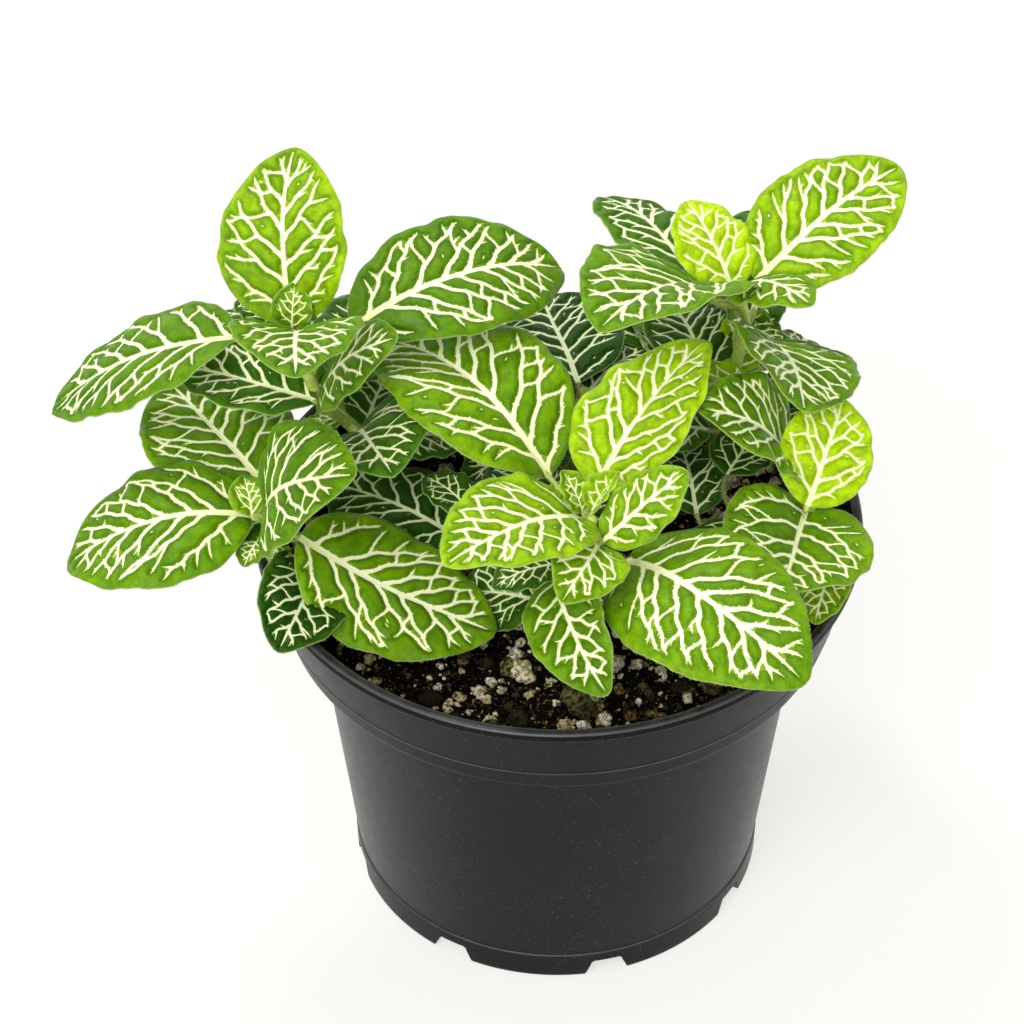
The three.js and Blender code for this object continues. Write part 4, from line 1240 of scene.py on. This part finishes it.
# Materials
class Shader:
    """Nodes of one material: each call makes a node, and a socket or a value goes in by name."""

    def __init__(self, name):
        self.material = bpy.data.materials.new(name)
        self.material.use_nodes = True
        self.tree = self.material.node_tree
        self.tree.nodes.clear()

    def node(self, kind, inputs=None, output=0, **settings):
        made = self.tree.nodes.new(kind)
        for key, value in settings.items():
            setattr(made, key, value)
        for key, value in (inputs or {}).items():
            if isinstance(value, bpy.types.NodeSocket):
                self.tree.links.new(value, made.inputs[key])
            else:
                made.inputs[key].default_value = value
        return made.outputs[output]

    def value(self, name):
        return self.node("ShaderNodeAttribute", attribute_name=name, output="Fac")

    def flat(self):
        return self.node("ShaderNodeAttribute", attribute_name="flat", output="Vector")

    def math(self, operation, a, b=0.0, c=0.0):
        return self.node("ShaderNodeMath", {0: a, 1: b, 2: c}, operation=operation)

    def step(self, value, low, high, start=0.0, end=1.0):
        """A smooth step from start, at and below low, to end, at and above high."""
        inputs = {"Value": value, "From Min": low, "From Max": high, "To Min": start, "To Max": end}
        return self.node("ShaderNodeMapRange", inputs, interpolation_type="SMOOTHSTEP")

    def mix(self, share, a, b):
        inputs = {0: share, 6: a, 7: b}
        return self.node("ShaderNodeMix", inputs, output=2, data_type="RGBA")

    def noise(self, place, scale, detail=2.0, roughness=0.5):
        inputs = {"Vector": place, "Scale": scale, "Detail": detail, "Roughness": roughness}
        return self.node("ShaderNodeTexNoise", inputs)

    def cells(self, place, scale):
        return self.node("ShaderNodeTexVoronoi", {"Vector": place, "Scale": scale})

    def ramp(self, share, stops):
        made = self.tree.nodes.new("ShaderNodeValToRGB")
        self.tree.links.new(share, made.inputs[0])
        elements = made.color_ramp.elements
        while len(elements) < len(stops):
            elements.new(0.5)
        for element, (position, colour) in zip(elements, stops):
            element.position = position
            element.color = (*colour, 1)
        return made.outputs[0]

    def bump(self, height, distance, strength=1.0):
        inputs = {"Height": height, "Distance": distance, "Strength": strength}
        return self.node("ShaderNodeBump", inputs, output="Normal")

    def finish(self, **inputs):
        named = {key.replace("_", " "): value for key, value in inputs.items()}
        surface = self.node("ShaderNodeBsdfPrincipled", named)
        output = self.tree.nodes.new("ShaderNodeOutputMaterial")
        self.tree.links.new(surface, output.inputs["Surface"])
        return self.material


def colour(red, green, blue):
    return (red, green, blue, 1.0)


def blade_green(s):
    """The green of a blade by its age: light at the margin, painted shade beside the veins' thin fringe."""
    flat, vein, edge, tone = s.flat(), s.value("vein"), s.value("edge"), s.value("tone")
    drift = s.math("MULTIPLY_ADD", s.noise(flat, 0.09, 2.0), 0.4, -0.2)
    age = s.math("ADD", tone, drift)
    margin = s.step(edge, 0.3, 3.0, 0.04, 0.0)
    # Painted shade beside the veins, where the bulging cells dip into the sunken veins, and painted light
    # that makes the middle of each cell a little lighter.
    deep = s.step(vein, -1.1, 0.0, -0.05, 0.08)
    shade = s.math("ADD", s.math("SUBTRACT", age, margin), deep)
    green = s.ramp(
        shade,
        [
            (0.0, (0.52, 0.80, 0.002)),
            (0.33, (0.165, 0.34, 0.001)),
            (0.66, (0.050, 0.152, 0.002)),
            (1.0, (0.008, 0.045, 0.001)),
        ],
    )
    mottle = s.step(s.noise(flat, 0.45, 4.0, 0.6), 0.32, 0.7, 0.0, 0.42)
    green = s.mix(mottle, green, colour(0.02, 0.08, 0.001))
    pores = s.step(s.noise(flat, 2.6, 2.0, 0.6), 0.42, 0.62, 0.0, 0.16)
    green = s.mix(pores, green, colour(0.01, 0.05, 0.001))
    dots = s.step(s.cells(flat, 1.9), 0.05, 0.22, 0.25, 0.0)
    green = s.mix(dots, green, colour(0.30, 0.48, 0.03))
    lime, fresh, dark = (0.55, 0.72, 0.02), (0.18, 0.34, 0.01), (0.05, 0.13, 0.01)
    light = s.ramp(tone, [(0.0, lime), (0.6, fresh), (1.0, dark)])
    fringe = s.step(vein, -0.15, -0.01, 0.0, 0.5)
    green = s.mix(fringe, green, light)
    rim = s.step(edge, 0.02, 0.3, 0.5, 0.0)
    return s.mix(rim, green, colour(0.45, 0.58, 0.20))


def blade_material():
    s = Shader("leaf_blade")
    flat, vein, tone, under = s.flat(), s.value("vein"), s.value("tone"), s.value("under")
    pale = s.ramp(tone, [(0.0, (0.46, 0.62, 0.16)), (1.0, (0.18, 0.32, 0.10))])
    below = s.mix(s.step(vein, -0.3, 0.3, 0.0, 0.5), pale, colour(0.62, 0.70, 0.40))
    base = s.mix(under, blade_green(s), below)
    grain = s.noise(flat, 2.4, 3.0)
    lumps = s.noise(flat, 0.7, 2.0)
    swell = s.step(vein, -0.9, 0.0, 1.0, 0.0)
    height = s.math("MULTIPLY_ADD", grain, 0.25, s.math("MULTIPLY_ADD", lumps, 0.6, swell))
    rough = s.math("MULTIPLY_ADD", s.noise(flat, 0.5, 2.0), 0.3, 0.24)
    normal = s.bump(height, 0.0003, 0.9)
    return s.finish(Base_Color=base, Roughness=rough, Specular_IOR_Level=0.11, Normal=normal)


def vein_material():
    s = Shader("leaf_vein")
    tone, along, vein = s.value("tone"), s.value("along"), s.value("vein")
    near_base = s.math("MULTIPLY", s.step(along, 0.0, 0.4, 0.8, 0.0), s.step(vein, 0.1, 0.5))
    cream = s.mix(near_base, colour(0.93, 0.93, 0.62), colour(0.84, 0.84, 0.34))
    aged = s.step(tone, 0.6, 1.0, 0.0, 0.45)
    cream = s.mix(aged, cream, colour(0.55, 0.62, 0.36))
    thin = s.step(vein, 0.0, 0.16, 0.2, 0.0)
    cream = s.mix(thin, cream, colour(0.66, 0.78, 0.22))
    return s.finish(Base_Color=cream, Roughness=0.5, Specular_IOR_Level=0.1)


def hair_material():
    s = Shader("leaf_hair")
    return s.finish(Base_Color=colour(0.62, 0.72, 0.40), Roughness=0.5, Specular_IOR_Level=0.2)


def stem_material():
    s = Shader("leaf_stem")
    flat, tone = s.flat(), s.value("tone")
    pale, green, brown = (0.60, 0.74, 0.14), (0.42, 0.56, 0.09), (0.20, 0.22, 0.04)
    skin = s.ramp(tone, [(0.0, pale), (0.5, green), (1.0, brown)])
    streak = s.step(s.noise(flat, 0.9, 3.0), 0.35, 0.7, 0.0, 0.35)
    skin = s.mix(streak, skin, colour(0.14, 0.17, 0.03))
    normal = s.bump(s.noise(flat, 2.5, 3.0), 0.0002, 0.5)
    return s.finish(Base_Color=skin, Roughness=0.5, Normal=normal)


def mix_material():
    s = Shader("mix_peat")
    flat = s.flat()
    patch = s.noise(flat, 0.9, 4.0, 0.7)
    black, brown, crumb = (0.001, 0.0008, 0.0005), (0.004, 0.0026, 0.0012), (0.16, 0.10, 0.035)
    skin = s.ramp(patch, [(0.46, black), (0.58, brown), (0.76, crumb)])
    flecks = s.step(s.noise(flat, 1.3, 3.0, 0.6), 0.63, 0.69, 0.0, 0.9)
    skin = s.mix(flecks, skin, colour(0.50, 0.38, 0.16))
    normal = s.bump(s.noise(flat, 1.6, 5.0, 0.7), 0.0006)
    return s.finish(Base_Color=skin, Roughness=0.9, Specular_IOR_Level=0.06, Normal=normal)


def grain_material(name, stops, pore_shade):
    s = Shader(name)
    flat, tone = s.flat(), s.value("tone")
    skin = s.ramp(tone, stops)
    # Painted shade: dark spots of the pore shade colour stand in for the shade in the grains' pores.
    spots = s.step(s.noise(flat, 1.1, 4.0, 0.7), 0.45, 0.57, 0.0, 0.92)
    skin = s.mix(spots, skin, pore_shade)
    normal = s.bump(s.noise(flat, 2.2, 4.0, 0.7), 0.0008)
    return s.finish(Base_Color=skin, Roughness=0.85, Specular_IOR_Level=0.15, Normal=normal)


# Heights of the pot's edges that get a painted highlight, a thin pale line where the edge catches the
# light, in mm.
EDGE_HIGHLIGHT_HEIGHTS = (FOOT_HEIGHT, COLLAR_BOTTOM - 0.3, COLLAR_LINE_HEIGHT, LIP_BOTTOM + 0.1, POT_HEIGHT - 0.2)


def pot_material(name, shine):
    s = Shader(name)
    metres = s.node("ShaderNodeTexCoord", output="Object")
    place = s.node("ShaderNodeVectorMath", {0: metres, "Scale": 1 / MM}, operation="SCALE")
    height = s.node("ShaderNodeSeparateXYZ", {0: place}, output="Z")
    cloud = s.step(s.noise(place, 0.05, 3.0), 0.35, 0.65, 0.0, 0.5)
    skin = s.mix(cloud, colour(0.005, 0.005, 0.006), colour(0.009, 0.009, 0.010))
    for level in EDGE_HIGHLIGHT_HEIGHTS:
        away = s.math("ABSOLUTE", s.math("SUBTRACT", height, level))
        # Painted highlight: a thin pale line along each edge, where the edge catches the light.
        painted_edge_highlight = s.step(s.math("MULTIPLY_ADD", s.noise(place, 0.25, 3.0), 0.25, away), 0.16, 0.4, 0.6, 0.0)
        skin = s.mix(painted_edge_highlight, skin, colour(0.10, 0.10, 0.10))
    speck = s.step(s.noise(place, 2.3, 2.0, 0.7), 0.65, 0.71, 0.0, 0.6)
    dusty = s.step(s.noise(place, 0.06, 2.0), 0.38, 0.6, 0.25, 1.0)
    skin = s.mix(s.math("MULTIPLY", speck, dusty), skin, colour(0.16, 0.16, 0.155))
    rough = s.math("MULTIPLY_ADD", s.noise(place, 0.3, 3.0), 0.12, 0.26)
    grain = s.noise(place, 2.2, 4.0, 0.6)
    normal = s.bump(grain, 0.00006, 0.6)
    return s.finish(Base_Color=skin, Roughness=rough, Specular_IOR_Level=shine, Normal=normal)


def floor_material():
    """A lit white table: most of its light is its own, so that it shows only soft shadows."""
    s = Shader("white_floor")
    return s.finish(
        Base_Color=colour(0.31, 0.306, 0.295),
        Roughness=0.9,
        Specular_IOR_Level=0.0,
        Emission_Color=colour(1.0, 0.995, 0.965),
        Emission_Strength=0.655,
    )


# The object
leaf_skins = [blade_material(), stem_material(), vein_material(), hair_material()]
seed = 1
for stem_name, stem in STEMS.items():
    builder = Builder(["vein", "edge", "tone", "under", "along"])
    route = np.array(stem["route"], float)
    steps = np.arange(STEM_STEPS)[:, None] / STEM_STEPS
    dense = np.concatenate([a + (b - a) * steps for a, b in zip(route[:-1], route[1:])] + [route[-1:]])
    add_stem(builder, route)
    for row in stem["leaves"]:
        leaf = Leaf(row, seed)
        seed += 1
        add_stalk(builder, leaf, dense)
        add_blade(builder, leaf)
    piece = builder.finish("leafy_stem_" + stem_name, leaf_skins)
    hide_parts("stem_" + stem_name)
    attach(piece, "root")

pot_shines = {"pot_wall": 0.13, "pot_collar": 0.06, "pot_lip": 0.34}
pot = make_pot([pot_material(name, shine) for name, shine in pot_shines.items()])
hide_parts("pot")
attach(pot, "root")

pale = [(0.0, (0.66, 0.54, 0.27)), (0.4, (0.92, 0.84, 0.56)), (1.0, (0.98, 0.95, 0.80))]
dull = [(0.0, (0.004, 0.003, 0.0015)), (0.5, (0.035, 0.026, 0.007)), (1.0, (0.22, 0.20, 0.055))]
sandy = [(0.0, (0.03, 0.015, 0.005)), (0.35, (0.34, 0.21, 0.06)), (0.7, (0.90, 0.73, 0.38))]
# The last colour of each grain material is the painted shade in its pores.
perlite = grain_material("mix_perlite", pale, colour(0.22, 0.15, 0.06))
crumbs = grain_material("mix_crumbs", dull, colour(0.004, 0.003, 0.002))
chips = grain_material("mix_chips", sandy, colour(0.02, 0.012, 0.004))
mix = make_mix([mix_material(), perlite, crumbs, chips])
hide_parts("potting_mix")
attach(mix, "root")

# Stage and light: the floor and the lamps are in metres, as are their places.
FLOOR_SIZE = 6
ROOM_LIGHT = 0.76
LIGHT_TARGET = Vector((0, 0, 0.08))
# Each lamp: its place, its width and its power in watts.
LAMPS = {
    "back_light": ((-0.7, 1.0, 1.92), 0.45, 18),
    "front_light": ((-0.6, -1.6, 1.7), 1.6, 38),
}

bpy.ops.mesh.primitive_plane_add(size=FLOOR_SIZE)
floor = bpy.context.object
floor.name = "floor"
floor.data.materials.append(floor_material())

scene = bpy.context.scene
scene.world = bpy.data.worlds.new("white_room")
scene.world.use_nodes = True
background = scene.world.node_tree.nodes["Background"]
background.inputs["Color"].default_value = (1.0, 1.0, 1.0, 1.0)
background.inputs["Strength"].default_value = ROOM_LIGHT
scene.view_settings.view_transform = "Standard"

for name, (place, width, power) in LAMPS.items():
    data = bpy.data.lights.new(name, "AREA")
    data.shape = "DISK"
    data.size = width
    data.energy = power
    lamp = bpy.data.objects.new(name, data)
    lamp.location = place
    lamp.rotation_euler = (LIGHT_TARGET - lamp.location).to_track_quat("-Z", "Y").to_euler()
    scene.collection.objects.link(lamp)

# Camera: lengths in mm
CAMERA_TARGET = Vector((-9.14, 0, 89.76))
CAMERA_DISTANCE = 976
CAMERA_RISE = math.radians(43)
LENS = 175.78
SENSOR_WIDTH = 36
camera = bpy.data.objects.new("camera", bpy.data.cameras.new("camera"))
camera.data.lens = LENS
camera.data.sensor_width = SENSOR_WIDTH
away = Vector((0, -math.cos(CAMERA_RISE), math.sin(CAMERA_RISE)))
camera.location = (CAMERA_TARGET + CAMERA_DISTANCE * away) * MM
camera.rotation_euler = (math.pi / 2 - CAMERA_RISE, 0, 0)
scene.collection.objects.link(camera)
scene.camera = camera
